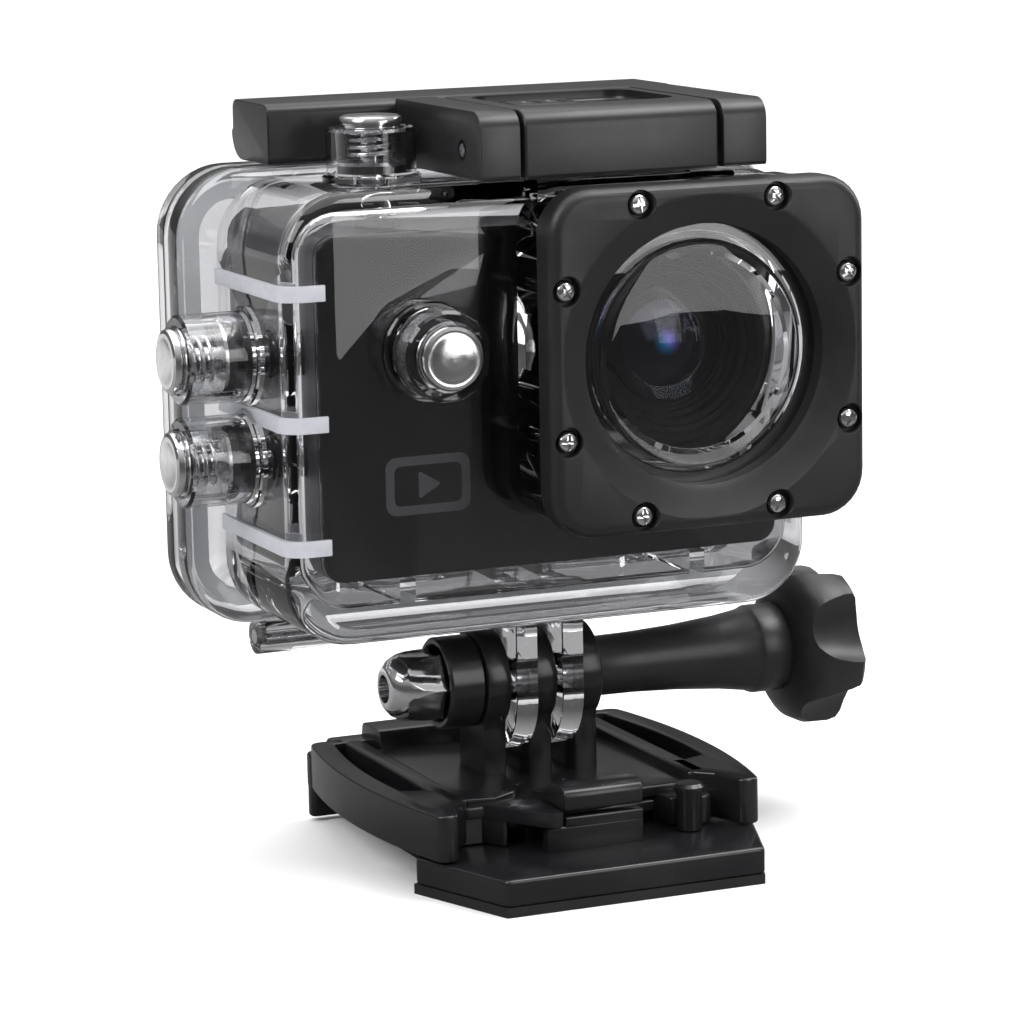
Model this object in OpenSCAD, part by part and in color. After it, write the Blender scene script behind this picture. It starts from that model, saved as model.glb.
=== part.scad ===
// Action camera in its clear diving case, on a quick-release buckle and an adhesive base plate.
// Millimetres. +X is to the right of someone facing the lens, +Y runs from the lens to the back, +Z is up.
// Origin: on the adhesive face, midway between the sides, 29 mm behind the base plate's front edge.

/* [Base plate] */
// Width of the base plate's front edge
base_front_w = 33.4; // [30:0.2:36]
// Width of the base plate at its widest
base_w = 44.6; // [42:0.2:48]
// Thickness of the base plate with its foam pad
base_t = 4.5; // [4:0.1:5]

/* [Quick-release buckle] */
// Height of the buckle's arms above the adhesive face
buckle_top = 10.4; // [10:0.1:11]
// Half width of the buckle where its arms bow out most
buckle_bow = 23.6; // [23:0.1:25]
// Thickness of each squeeze arm
arm_t = 3.0; // [2.4:0.1:3.4]

/* [Tilt joint] */
// Height of the tilt screw's axis
screw_z = 21.2; // [21:0.1:23]
// Distance of the tilt screw's axis behind the origin
screw_y = 3.0; // [2:0.1:4]
// Radius of the fingers around the screw
finger_r = 6.2; // [5.8:0.1:7]
// Half the depth of a finger's foot
foot_half = 4.0; // [3.5:0.1:5]
// Radius of the case's prongs
prong_r = 7.5; // [7:0.1:8]
// Drop of the prongs' round end below the screw's axis
prong_drop = 1.5; // [0:0.1:2]
// Radius of the M5 screw
bolt_r = 2.5; // [2.4:0.05:2.5]

/* [Diving case] */
// Outer width of the case's front shell
shell_w = 68.0; // [66:0.5:70]
// Height of the front shell's lower face
shell_bottom = 29.6; // [29:0.1:30]
// Height of the front shell's upper face
shell_top = 83.4; // [83:0.1:84]
// Front face of the shell, measured from the origin
shell_front = -10.0; // [-10.5:0.1:-9.8]
// Wall thickness of the clear plastic
wall = 2.5; // [2.2:0.1:2.5]
// Width of the back door
door_w = 79.0; // [77:0.5:80]
// Height of the back door
door_h = 56.0; // [55:0.5:56.5]

/* [Lens plate] */
// Side of the black lens plate
plate_side = 41.2; // [40:0.2:42]
// Thickness of the lens plate
plate_t = 4.0; // [3.6:0.1:4.2]
// Radius of the hole in the lens plate
plate_hole_r = 15.6; // [15:0.1:16]

/* [Buttons] */
// Outer radius of each clear button tube
tube_r = 5.4; // [5.2:0.1:5.5]
// Radius of each metal button cap
cap_r = 3.85; // [3.6:0.05:3.9]
// Travel of each button
button_travel = 0.8; // [0.5:0.1:0.8]

/* [Camera] */
// Width of the camera body
cam_w = 59.3; // [58:0.1:60]
// Height of the camera body
cam_h = 41.1; // [40:0.1:42]
// Depth of the camera body without its lens
cam_d = 24.8; // [24:0.1:24.9]

/* [Latch] */
// Height of the latch's upper face
latch_top = 92.4; // [92:0.1:93]
// Front face of the latch, measured from the origin
latch_front = -15.9; // [-16:0.1:-15]
// Travel of the sliding lock in the latch lever
lock_travel = 3.0; // [2:0.5:3.5]

/* [Hidden] */
$fn = 64;
eps = 0.01;

// base plate and rail
pad_t = 1.2;
base_front = -29;
base_rear = 23.2;
base_head = 15.2;
rail_stem = 7.4;
rail_head = 9.8;
rail_under = 6.1;
rail_over = 7.5;
slide_gap = 0.2;
tongue_half = 5.1;
tongue_y = -17.9;
tongue_z = 10.5;
tongue_r = 1.8;

// buckle
buckle_low = 4.7;
floor_top = 9.2;
bow_radius = 93;
arm_rear = 24.0;
arm_tip = -19.2;
finger_t = 3.0;
prong_in = 1.6;
prong_out = 4.5;
finger_in = 4.6;
finger_out = 7.6;
boss_end = -12.3;
boss_r = 5.7;
bore_gap = 0.06;
nut_flats = 8.0;
nut_end = -19.0;

// shell
shell_x = -1.2;
shell_rear = 17.3;
flange_front = 13.2;
shell_left = shell_x - shell_w / 2;
shell_right = shell_x + shell_w / 2;
shell_mid_z = (shell_bottom + shell_top) / 2;
shell_h = shell_top - shell_bottom;
shell_corner = 8;
edge_r = 3.2;
door_front = 17.8;
door_rear = 21.5;
door_x = -0.7;
door_bottom = 28.8;
door_mid_z = door_bottom + door_h / 2;
door_corner = 8.5;
cavity_floor = 34.0;

// door hinge
hinge_y = 18.6;
hinge_z = 26.0;
hinge_r = 2.3;
hinge_pin_r = 0.9;
shell_knuckles = [[-30, -17], [-5.5, 8.5], [20, 33]];
door_knuckles = [[-16.7, -5.8], [8.8, 19.7]];

// lens
lens_x = 14.1;
lens_z = 62.7;
block_front = -17.4;
block_side = 40.0;
lens_bore_r = 14.4;
window_r = 16.8;
window_seat = -15.8;
screw_near = 8.85;
screw_far = 18.45;
plate_screws = [for (a = [0 : 90 : 270], s = [-1, 1]) [a, s]];

// camera
cam_x = -0.65;
cam_z = 57.68;
cam_front = -7.2;
cam_left = cam_x - cam_w / 2;
cam_right = cam_x + cam_w / 2;
cam_top = cam_z + cam_h / 2;
cam_bottom = cam_z - cam_h / 2;
cam_rear = cam_front + cam_d;
cam_corner = 2.5;
panel_t = 1.5;
skin = 1.6;
lens_front = -11.7;

// buttons: places on the shell
shutter_x = -18.7;
shutter_y = 3.5;
power_x = -17.3;
power_z = 64.3;
side_y = 3.0;
up_z = 63.5;
down_z = 51.2;
shutter_tube = 6.3;
power_tube = 6.4;
side_tube = 9.0;
cap_stand = 1.6;
cap_skirt = 0.6;
tube_floor = 1.0;
ring_t = 0.9;
washer_t = 0.4;
touch = 0.02;
stem_r = 1.5;
key_r = 2.6;
clip_recess = 1.0;

// latch
latch_pivot_y = 19.6;
latch_pivot_z = 88.5;
latch_pin_r = 1.0;
latch_round = 3.4;
latch_left = -29.4;
latch_right = 24.4;
bar_front = 10.0;
bar_bottom = 85.2;
cheek_bottom = 84.4;
cheek_left = -12.6;
cheek_left_t = 5.0;
cheek_right_t = 5.8;
lever_left = -7.0;
lever_right = 17.9;
lever_rear = 9.3;
lever_pivot_y = -10.1;
lever_pivot_z = 87.6;
lug_places = [[-22.5, -18.5], [13.5, 17.5]];

// ---------- shared shapes ----------
module rounded_rect(w, h, r) {
    square([w, h - 2 * r], center = true);
    square([w - 2 * r, h], center = true);
    for (sx = [-1, 1], sy = [-1, 1]) translate([sx * (w / 2 - r), sy * (h / 2 - r)]) circle(r);
}

// a plate standing across Y, from y0 to y1
module plate_y(x, z, w, h, r, y0, y1) {
    translate([x, y1, z]) rotate([90, 0, 0]) linear_extrude(y1 - y0) rounded_rect(w, h, r);
}

module rod_x(x0, x1, y, z, r) {
    translate([x0, y, z]) rotate([0, 90, 0]) cylinder(h = x1 - x0, r = r);
}

module rod_y(y0, y1, x, z, r) {
    translate([x, y0, z]) rotate([-90, 0, 0]) cylinder(h = y1 - y0, r = r);
}

module box(lo, hi) {
    translate(lo) cube([hi[0] - lo[0], hi[1] - lo[1], hi[2] - lo[2]]);
}

// a profile in Y and Z, extruded along X
module along_x(x0, x1) {
    translate([x0, 0, 0]) rotate([90, 0, 90]) linear_extrude(x1 - x0) children();
}

// the four places of the buttons: +Z of each points out of the case
module at_shutter() { translate([shutter_x, shutter_y, shell_top]) children(); }
module at_power() { translate([power_x, shell_front, power_z]) rotate([90, 0, 0]) children(); }
module at_up() { translate([shell_left, side_y, up_z]) rotate([0, -90, 0]) children(); }
module at_down() { translate([shell_left, side_y, down_z]) rotate([0, -90, 0]) children(); }

// ---------- base plate ----------
module base_outline() {
    neck = 16.0;
    polygon([[-base_front_w / 2, base_front], [base_front_w / 2, base_front],
             [base_w / 2, base_front + base_head], [neck, base_front + base_head + 4],
             [neck, base_rear - 3], [neck - 3, base_rear], [3 - neck, base_rear],
                 [-neck, base_rear - 3],
             [-neck, base_front + base_head + 4], [-base_w / 2, base_front + base_head]]);
}

module mount_base() {
    color([0.07, 0.07, 0.08]) {
        translate([0, 0, pad_t]) linear_extrude(base_t - pad_t) base_outline();
        // T-shaped rail that the buckle runs on
        box([-rail_stem, -13, base_t - eps], [rail_stem, 20, rail_under + eps]);
        box([-rail_head, -13, rail_under], [rail_head, 20, rail_over]);
        // low wall in front of the rail, raised under the buckle's tongue
        box([-rail_stem, -19.8, base_t - eps], [tongue_half, -17.9, rail_over]);
        box([-tongue_half, -19.8, rail_over - eps], [tongue_half, -17.9, tongue_z - tongue_r - 0.15]);
    }
}

module adhesive_pad() {
    color([0.2, 0.2, 0.21]) linear_extrude(pad_t) base_outline();
}

// ---------- buckle ----------
module bowed_arm() {
    // one squeeze arm: the band between two arcs, with a solid tip
    mid_x = buckle_bow - bow_radius;
    intersection() {
        difference() {
            translate([mid_x, screw_y]) circle(bow_radius, $fn = 360);
            translate([mid_x, screw_y]) circle(bow_radius - arm_t, $fn = 360);
        }
        translate([15, arm_tip]) square([12, arm_rear - arm_tip]);
    }
    // tip block, joined back to the tray wall in front of the slot
    intersection() {
        translate([mid_x, screw_y]) circle(bow_radius - 0.5, $fn = 360);
        polygon([[15.2, -12.5], [17.2, -14.5], [18.6, arm_tip], [25, arm_tip], [25, -7],
            [19.4, -6], [15.2, -6]]);
    }
}

module buckle_outline() {
    // tray with its two arms and the rear cross wall
    translate([-16.8, -12.5]) square([33.6, 37]);
    bowed_arm();
    mirror([1, 0]) bowed_arm();
    translate([-21.2, 21.6]) square([42.4, 4.2]);
    // left plate that runs forward beside the tongue
    polygon([[-15, -12], [-13.2, -11.5], [-7.4, -20.6], [-5.6, -20.6], [-5.6, -12]]);
}

module buckle_tray() {
    difference() {
        translate([0, 0, buckle_low]) linear_extrude(buckle_top - buckle_low) buckle_outline();
        // hollow of the tray between its walls
        box([-14.6, -25, floor_top], [14.6, 18, 20]);
        // channel for the base plate's rail
        box([-rail_stem - slide_gap, -30, 0],
            [rail_stem + slide_gap, 20.3, rail_under - slide_gap + eps]);
        box([-rail_head - slide_gap, -30, rail_under - slide_gap],
            [rail_head + slide_gap, 20.3, rail_over + slide_gap]);
        // closed slot beside each arm
        for (s = [-1, 1]) translate([s * 18.7, 0, 0]) {
            box([-1.5, -4.5, 0], [1.5, 20, 20]);
            for (y = [-4.5, 20]) translate([0, y, 0]) cylinder(h = 20, r = 1.5);
        }
    }
}

module buckle() {
    color([0.06, 0.06, 0.07]) difference() {
        union() {
            buckle_tray();
            // rear wall, down to just above the surface, and the raised block on it
            box([-21.2, 23.6, 0.6], [21.2, 25.8, buckle_low + eps]);
            box([-13.8, 17.2, floor_top - eps], [13.8, 24.4, 12.2]);
            // spring tongue with its rolled front edge
            box([-tongue_half, tongue_y, floor_top - 0.5], [tongue_half, -9.5, floor_top + 1.2]);
            rod_x(-tongue_half, tongue_half, tongue_y, tongue_z, tongue_r);
            // post at the front of the right tray wall
            translate([12.3, -17.4, buckle_low]) cylinder(h = buckle_top - buckle_low, r = 1.8);
            box([11.6, -16.6, buckle_low], [16.8, -12, floor_top - 1]);
            // three fingers round the tilt screw
            for (x = [-finger_out, -finger_t / 2, finger_in]) {
                rod_x(x, x + finger_t, screw_y, screw_z, finger_r);
                box([x, screw_y - foot_half, floor_top - eps],
                    [x + finger_t, screw_y + foot_half, screw_z]);
            }
            // boss round the cap nut
            rod_x(boss_end, -finger_in, screw_y, screw_z, boss_r);
        }
        rod_x(-30, 30, screw_y, screw_z, bolt_r + bore_gap);
        translate([boss_end - 1, screw_y, screw_z]) rotate([0, 90, 0])
            cylinder(h = 3.9, d = (nut_flats + 0.1) / cos(30), $fn = 6);
    }
}

// ---------- tilt screw ----------
module cap_nut() {
    nut_start = boss_end + 2.9;
    color([0.8, 0.8, 0.82]) difference() {
        intersection() {
            translate([nut_end, screw_y, screw_z]) rotate([0, 90, 0])
                cylinder(h = nut_start - nut_end, d = nut_flats / cos(30), $fn = 6);
            translate([nut_start, screw_y, screw_z]) rotate([0, -90, 0]) rotate_extrude()
                polygon([[0, 0], [4.45, 0], [4.6, 0.4], [4.6, 5.0], [4.35, 7.0], [3.5, 8.8],
                    [2.5, nut_start - nut_end], [0, nut_start - nut_end]]);
        }
        rod_x(-17, 0, screw_y, screw_z, bolt_r + bore_gap);
        rod_x(nut_end - 1, 0, screw_y, screw_z, 1.7);
    }
}

module thumb_bolt() {
    color([0.6, 0.6, 0.62]) {
        rod_x(-16.4, 14, screw_y, screw_z, bolt_r);
        translate([9.5, screw_y, screw_z]) rotate([0, 90, 0]) cylinder(h = 4.5, d = 6.4, $fn = 6);
    }
}

module thumb_knob() {
    neck_start = finger_out + 0.1;
    color([0.08, 0.08, 0.09]) difference() {
        union() {
            // flared neck and collar
            translate([0, screw_y, screw_z]) rotate([0, 90, 0]) rotate_extrude()
                polygon([[0, neck_start], [4.0, neck_start], [3.75, neck_start + 1.5],
                    [3.8, 14], [4.1, 20],
                         [4.7, 26], [5.35, 30], [5.6, 30.4], [5.6, 34.6], [0, 34.6]]);
            // five-lobed grip with a crowned end
            intersection() {
                translate([34.2, screw_y, screw_z]) rotate([0, 90, 0]) linear_extrude(9) difference() {
                    circle(10.2);
                    for (i = [0 : 4]) rotate(i * 72 + 105.6) translate([13.2, 0]) circle(6.0);
                }
                translate([0, screw_y, screw_z]) rotate([0, 90, 0]) rotate_extrude()
                    polygon([[0, 34.2], [5.2, 34.2], [8.6, 35.2], [10.2, 37.2], [10.2, 41],
                        [9.3, 42.4], [6, 42.9], [0, 42.9]]);
            }
        }
        rod_x(0, 14.2, screw_y, screw_z, bolt_r + bore_gap);
        translate([9.4, screw_y, screw_z]) rotate([0, 90, 0]) cylinder(h = 4.8, d = 6.5, $fn = 6);
    }
}

// ---------- diving case ----------
// clear tube that guides a button, on the shell's outer face
module button_tube(h) {
    translate([0, 0, -1]) cylinder(h = 1.8, r = tube_r + 0.55);
    translate([0, 0, -1]) cylinder(h = h + 1, r = tube_r);
}

// what the tube leaves open: the bore of the cap, then the stem's hole through the wall
module button_bore(h) {
    translate([0, 0, tube_floor]) cylinder(h = h, r = cap_r + 0.35);
    translate([0, 0, -8]) cylinder(h = 12, r = stem_r + bore_gap);
}

// the main box, its front edges rounded
module shell_box() {
    depth = flange_front + 6 - shell_front;
    mid_y = (flange_front + 6 + shell_front) / 2;
    intersection() {
        plate_y(shell_x, shell_mid_z, shell_w, shell_h, shell_corner, shell_front, flange_front + eps);
        translate([shell_x, mid_y, 0]) linear_extrude(120) rounded_rect(shell_w + 0.2, depth, edge_r);
        translate([0, mid_y, shell_mid_z]) rotate([0, -90, 0])
            translate([0, 0, -60]) linear_extrude(120)
            rounded_rect(shell_h + 0.2, depth, edge_r);
    }
}

module shell_body() {
    shell_box();
    // wider rim that meets the door
    plate_y(door_x, door_mid_z, door_w, door_h, door_corner, flange_front, shell_rear);
    // square block that carries the lens plate
    plate_y(lens_x, lens_z, block_side, block_side, 5, block_front, shell_front + 2);
    // three stiffening ribs round the left side
    for (z = [42.0, 56.6, 72.0])
        box([shell_left - 0.5, shell_front - 0.5, z - 0.9],
            [shell_left + 5, flange_front + 1, z + 0.9]);
    // catch rib under the latch lever, with its ramp in front
    along_x(-4.5, 15.5) polygon([[-9.4, shell_top - 2], [-13.4, shell_top - 2],
        [-13.4, shell_top + 0.35],
                                 [-12.2, shell_top + 0.95], [-10.8, shell_top + 1.65],
                                     [-9.4, shell_top + 1.65]]);
    // two prongs round the tilt screw
    for (x = [prong_in, -prong_out]) {
        rod_x(x, x + prong_out - prong_in, screw_y, screw_z - prong_drop, prong_r);
        box([x, screw_y - prong_r, screw_z - prong_drop],
            [x + prong_out - prong_in, screw_y + prong_r, shell_bottom + 1]);
    }
    // hinge knuckles under the rim
    for (k = shell_knuckles) {
        rod_x(k[0], k[1], hinge_y, hinge_z, hinge_r);
        box([k[0], 14.2, hinge_z - 1], [k[1], shell_rear, door_bottom + 2]);
    }
    at_shutter() button_tube(shutter_tube);
    at_power() button_tube(power_tube);
    at_up() button_tube(side_tube);
    at_down() button_tube(side_tube);
}

module case_shell() {
    color([0.85, 0.9, 0.95, 0.35]) difference() {
        shell_body();
        // room for the camera, open at the back
        difference() {
            plate_y(shell_x, (cavity_floor + shell_top - wall) / 2, shell_w - 2 * wall,
                    shell_top - wall - cavity_floor, shell_corner - wall, shell_front + wall, 30);
            // two rails the camera stands on
            for (x = [-20, 18]) box([x - 1, -20, 30], [x + 1, 14, cam_bottom - 0.15]);
        }
        // bore for the lens and the seat of its window
        rod_y(-30, 0, lens_x, lens_z, lens_bore_r);
        rod_y(-30, window_seat, lens_x, lens_z, window_r + 0.05);
        for (p = plate_screws) translate([lens_x, 0, lens_z]) rotate([0, p[0], 0])
            rod_y(-30, -11.9, p[1] * screw_near, screw_far, 0.82);
        rod_x(-40, 40, screw_y, screw_z, bolt_r + bore_gap);
        rod_x(-40, 40, hinge_y, hinge_z, hinge_pin_r + 0.05);
        // the door's knuckles turn between the shell's
        for (k = door_knuckles) box([k[0] - 0.3, 16.2, 20], [k[1] + 0.3, 24, door_bottom - eps]);
        at_shutter() button_bore(shutter_tube);
        at_power() {
            button_bore(power_tube);
            // room for this button's clip, which sits inside the wall
            translate([0, 0, -wall - 1]) cylinder(h = wall + 1 - clip_recess, r = 3.1);
        }
        at_up() button_bore(side_tube);
        at_down() button_bore(side_tube);
    }
}

module case_door() {
    color([0.85, 0.9, 0.95, 0.35]) difference() {
        union() {
            plate_y(door_x, door_mid_z, door_w, door_h, door_corner, door_front, door_rear);
            for (k = door_knuckles) {
                rod_x(k[0], k[1], hinge_y, hinge_z, hinge_r);
                box([k[0], door_front, hinge_z], [k[1], hinge_y + hinge_r, door_bottom + 2]);
            }
            // lugs that the latch swings on
            for (k = lug_places) {
                rod_x(k[0], k[1], latch_pivot_y, latch_pivot_z, 2.4);
                box([k[0], door_front, 83], [k[1], door_rear, latch_pivot_z]);
            }
        }
        // groove for the seal, and the shallow pocket over the screen
        difference() {
            plate_y(door_x, door_mid_z, door_w - 3.6, door_h - 3.6, door_corner - 1.8,
                door_front - 1, door_front + 1.4);
            plate_y(door_x, door_mid_z, door_w - 8, door_h - 8, door_corner - 4, door_front - 1,
                door_front + 2);
        }
        plate_y(cam_x, cam_z, 52, 36, 3, door_front + 2, door_rear + 1);
        rod_x(-40, 40, hinge_y, hinge_z, hinge_pin_r + 0.05);
        rod_x(-40, 40, latch_pivot_y, latch_pivot_z, latch_pin_r + 0.05);
    }
}

module door_seal() {
    color([0.75, 0.77, 0.8]) difference() {
        plate_y(door_x, door_mid_z, door_w - 3.9, door_h - 3.9, door_corner - 1.95,
            shell_rear + 0.02, door_front + 1.38);
        plate_y(door_x, door_mid_z, door_w - 7.7, door_h - 7.7, door_corner - 3.85, 0, 30);
    }
}

module door_hinge_pin() {
    color([0.7, 0.7, 0.72])
        rod_x(shell_knuckles[0][0], shell_knuckles[2][1], hinge_y, hinge_z, hinge_pin_r);
}

// ---------- lens plate, screws and window ----------
module lens_plate() {
    front = block_front - plate_t;
    color([0.07, 0.07, 0.08]) difference() {
        union() {
            plate_y(lens_x, lens_z, plate_side, plate_side, 5.5, front + 1, block_front);
            plate_y(lens_x, lens_z, plate_side - 1.6, plate_side - 1.6, 4.7, front, block_front);
        }
        rod_y(-30, 0, lens_x, lens_z, plate_hole_r);
        // shallow cone round the hole
        translate([lens_x, front - eps, lens_z]) rotate([-90, 0, 0])
            cylinder(h = 1.5, r1 = 19.25, r2 = plate_hole_r);
        for (p = plate_screws) translate([lens_x, 0, lens_z]) rotate([0, p[0], 0]) {
            rod_y(-30, front + 1.5, p[1] * screw_near, screw_far, 1.75);
            rod_y(-30, 0, p[1] * screw_near, screw_far, 0.86);
        }
    }
}

module lens_plate_screws() {
    seat = block_front - plate_t + 1.5;
    color([0.82, 0.82, 0.84]) for (p = plate_screws)
        translate([lens_x, 0, lens_z]) rotate([0, p[0], 0]) difference() {
            union() {
                rod_y(seat - 0.7, seat, p[1] * screw_near, screw_far, 1.35);
                translate([p[1] * screw_near, seat - 0.7 + eps, screw_far]) rotate([90, 0, 0])
                    cylinder(h = 0.4, r1 = 1.35, r2 = 0.9);
                rod_y(seat - eps, -12.1, p[1] * screw_near, screw_far, 0.8);
            }
            // cross recess
            for (s = [[0.9, 0.2], [0.2, 0.9]])
                box([p[1] * screw_near - s[0], seat - 2, screw_far - s[1]],
                    [p[1] * screw_near + s[0], seat - 0.4, screw_far + s[1]]);
        }
}

module lens_window() {
    color([0.9, 0.92, 0.95, 0.3]) {
        rod_y(block_front + 0.05, window_seat - 0.45, lens_x, lens_z, window_r);
        rod_y(block_front - 0.75, block_front + 0.1, lens_x, lens_z, 13.6);
    }
}

module window_seal() {
    color([0.08, 0.08, 0.08]) difference() {
        rod_y(window_seat - 0.43, window_seat - 0.02, lens_x, lens_z, window_r - 0.3);
        rod_y(-30, 0, lens_x, lens_z, lens_bore_r + 0.2);
    }
}

// ---------- one button, built along +Z from the shell's outer face ----------
// h is the tube's height and reach is how far the stem runs in from the outer face
module plunger(h, reach) {
    color([0.78, 0.78, 0.8]) {
        rotate_extrude() polygon([[0, h - cap_skirt], [cap_r - 0.2, h - cap_skirt],
            [cap_r, h - cap_skirt + 0.2],
                                  [cap_r, h + cap_stand - 0.7], [cap_r - 0.6, h + cap_stand - 0.1],
                                  [cap_r - 1.6, h + cap_stand], [0, h + cap_stand]]);
        translate([0, 0, -reach]) cylinder(h = reach + h, r = stem_r);
    }
}

// return spring from z0 up to the cap
module spring(z0, h) {
    turns = 3;
    steps = 14;
    sides = 6;
    wire = 0.3;
    coil_r = 2.6;
    n = turns * steps;
    low = z0 + wire + touch;
    rise = h - cap_skirt - touch - wire - low;
    pts = [for (i = [0 : n], j = [0 : sides - 1])
        let (a = 360 * i / steps, b = 360 * j / sides, r = coil_r + wire * cos(b))
        [r * cos(a), r * sin(a), low + rise * i / n + wire * sin(b)]];
    walls = [for (i = [0 : n - 1], j = [0 : sides - 1])
        [i * sides + j, i * sides + (j + 1) % sides, (i + 1) * sides + (j + 1) % sides,
            (i + 1) * sides + j]];
    ends = [[for (j = [sides - 1 : -1 : 0]) j], [for (j = [0 : sides - 1]) n * sides + j]];
    color([0.7, 0.7, 0.72]) polyhedron(points = pts, faces = concat(walls, ends), convexity = 8);
}

module stem_ring(z, t) {
    translate([0, 0, z]) difference() {
        cylinder(h = t, r = cap_r + 0.25);
        translate([0, 0, -1]) cylinder(h = t + 2, r = stem_r + 0.05);
    }
}

// clip that keeps the stem in, behind the wall
module stem_clip(z) {
    color([0.75, 0.75, 0.77]) translate([0, 0, z]) difference() {
        cylinder(h = 0.5, r = 2.6);
        translate([0, 0, -1]) cylinder(h = 3, r = stem_r);
        translate([0, -0.9, -1]) cube([4, 1.8, 3]);
    }
}

short_stack = tube_floor + ring_t + washer_t + 2 * touch;
tall_stack = short_stack + ring_t + 1 + 2 * touch;
stem_to_shutter = shell_top - cam_top - 1.05;
stem_to_side = cam_left - 1.05 - shell_left;
stem_to_power = cam_front - 0.3 - shell_front;

// rubber rings at the bottom of each tube: one in front and on top, two at the side
module button_seals() {
    low = tube_floor + touch;
    color([0.05, 0.05, 0.05]) {
        at_shutter() stem_ring(low, ring_t);
        at_power() stem_ring(low, ring_t);
        at_up() { stem_ring(low, ring_t); stem_ring(low + ring_t + 1, ring_t); }
        at_down() { stem_ring(low, ring_t); stem_ring(low + ring_t + 1, ring_t); }
    }
}

// steel washers between the rings and the springs
module button_washers() {
    color([0.75, 0.75, 0.77]) {
        at_shutter() stem_ring(short_stack - washer_t, washer_t);
        at_power() stem_ring(short_stack - washer_t, washer_t);
        at_up() stem_ring(tall_stack - washer_t, washer_t);
        at_down() stem_ring(tall_stack - washer_t, washer_t);
    }
}

module shutter_plunger() { at_shutter() plunger(shutter_tube, stem_to_shutter); }
module power_plunger() { at_power() plunger(power_tube, stem_to_power); }
module up_plunger() { at_up() plunger(side_tube, stem_to_side); }
module down_plunger() { at_down() plunger(side_tube, stem_to_side); }
module shutter_spring() { at_shutter() spring(short_stack, shutter_tube); }
module power_spring() { at_power() spring(short_stack, power_tube); }
module up_spring() { at_up() spring(tall_stack, side_tube); }
module down_spring() { at_down() spring(tall_stack, side_tube); }
module shutter_clip() { at_shutter() stem_clip(-wall - 0.55); }
module power_clip() { at_power() stem_clip(-clip_recess - 0.55); }
module up_clip() { at_up() stem_clip(-wall - 0.55); }
module down_clip() { at_down() stem_clip(-wall - 0.55); }

// ---------- latch ----------
module latch_frame() {
    color([0.07, 0.07, 0.08]) difference() {
        union() {
            // rear bar, rounded about its hinge
            along_x(latch_left, latch_right) {
                polygon([[bar_front, bar_bottom + 0.6], [bar_front + 0.6, bar_bottom],
                    [latch_pivot_y, bar_bottom],
                         [latch_pivot_y, latch_top], [bar_front, latch_top]]);
                translate([latch_pivot_y, latch_pivot_z]) circle(latch_round);
                translate([latch_pivot_y - eps, latch_pivot_z]) square([2.9,
                    latch_top - latch_pivot_z]);
            }
            // cheeks on both sides of the lever
            for (x = [[cheek_left, cheek_left + cheek_left_t],
                [latch_right - cheek_right_t, latch_right - 0.1]]) along_x(x[0], x[1])
                polygon([[bar_front + eps, cheek_bottom + 0.8], [bar_front + eps, latch_top],
                         [latch_front + 1.6, latch_top], [latch_front + 0.4, latch_top - 0.6],
                         [latch_front, latch_top - 1.8], [latch_front, cheek_bottom + 0.5],
                         [latch_front + 0.5, cheek_bottom], [4, cheek_bottom],
                             [bar_front - 1, cheek_bottom + 0.8]]);
        }
        // slots round the door's lugs, open below and behind
        for (k = lug_places) box([k[0] - 0.3, latch_pivot_y - 2.9, 80],
            [k[1] + 0.3, 30, latch_pivot_z + 2.7]);
        rod_x(-40, 40, latch_pivot_y, latch_pivot_z, latch_pin_r + 0.05);
        rod_x(-40, 40, lever_pivot_y, lever_pivot_z, 0.8 + 0.05);
    }
}

module latch_hinge_pin() {
    color([0.7, 0.7, 0.72])
        rod_x(latch_left + 1.5, latch_right - 1.5, latch_pivot_y, latch_pivot_z, latch_pin_r);
}

module latch_lever() {
    color([0.08, 0.08, 0.09]) difference() {
        union() {
            along_x(lever_left, lever_right) {
                // top plate and front flap in one bent piece
                polygon([[latch_front + 1.6, latch_top], [latch_front + 0.4, latch_top - 0.6],
                         [latch_front, latch_top - 1.8], [latch_front, shell_top + 1.3],
                             [latch_front + 0.4, shell_top + 0.9],
                         [latch_front + 2.2, shell_top + 0.9], [latch_front + 2.2, latch_top - 3.4],
                         [latch_front + 3.0, latch_top - 2.6], [lever_rear, latch_top - 2.6],
                             [lever_rear, latch_top]]);
                // hook on the flap's inner face
                polygon([[latch_front + 2.1, shell_top + 1.1], [latch_front + 3.6, shell_top + 1.1],
                         [latch_front + 3.6, shell_top + 1.9], [latch_front + 2.1, shell_top + 3]]);
            }
            // eyes round the lever's pin
            for (x = [lever_left, lever_right - 3]) {
                rod_x(x, x + 3, lever_pivot_y, lever_pivot_z, 1.9);
                box([x, lever_pivot_y - 1.9, lever_pivot_z],
                    [x + 3, lever_pivot_y + 1.9, latch_top - 2.5]);
            }
        }
        rod_x(-40, 40, lever_pivot_y, lever_pivot_z, 0.8 + 0.05);
        // finger dish with the lock's slot in its floor
        translate([(lever_left + lever_right) / 2, -1.5, latch_top - 1.3])
            linear_extrude(3) rounded_rect(20, 15, 3);
        translate([lock_x + lock_travel / 2, -1.5, 80]) linear_extrude(20)
            rounded_rect(5 + lock_travel, 3.2, 1.2);
    }
}

lock_x = 1.6;

module latch_lever_pin() {
    color([0.7, 0.7, 0.72]) rod_x(cheek_left, latch_right - 0.8, lever_pivot_y, lever_pivot_z, 0.8);
}

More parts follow.
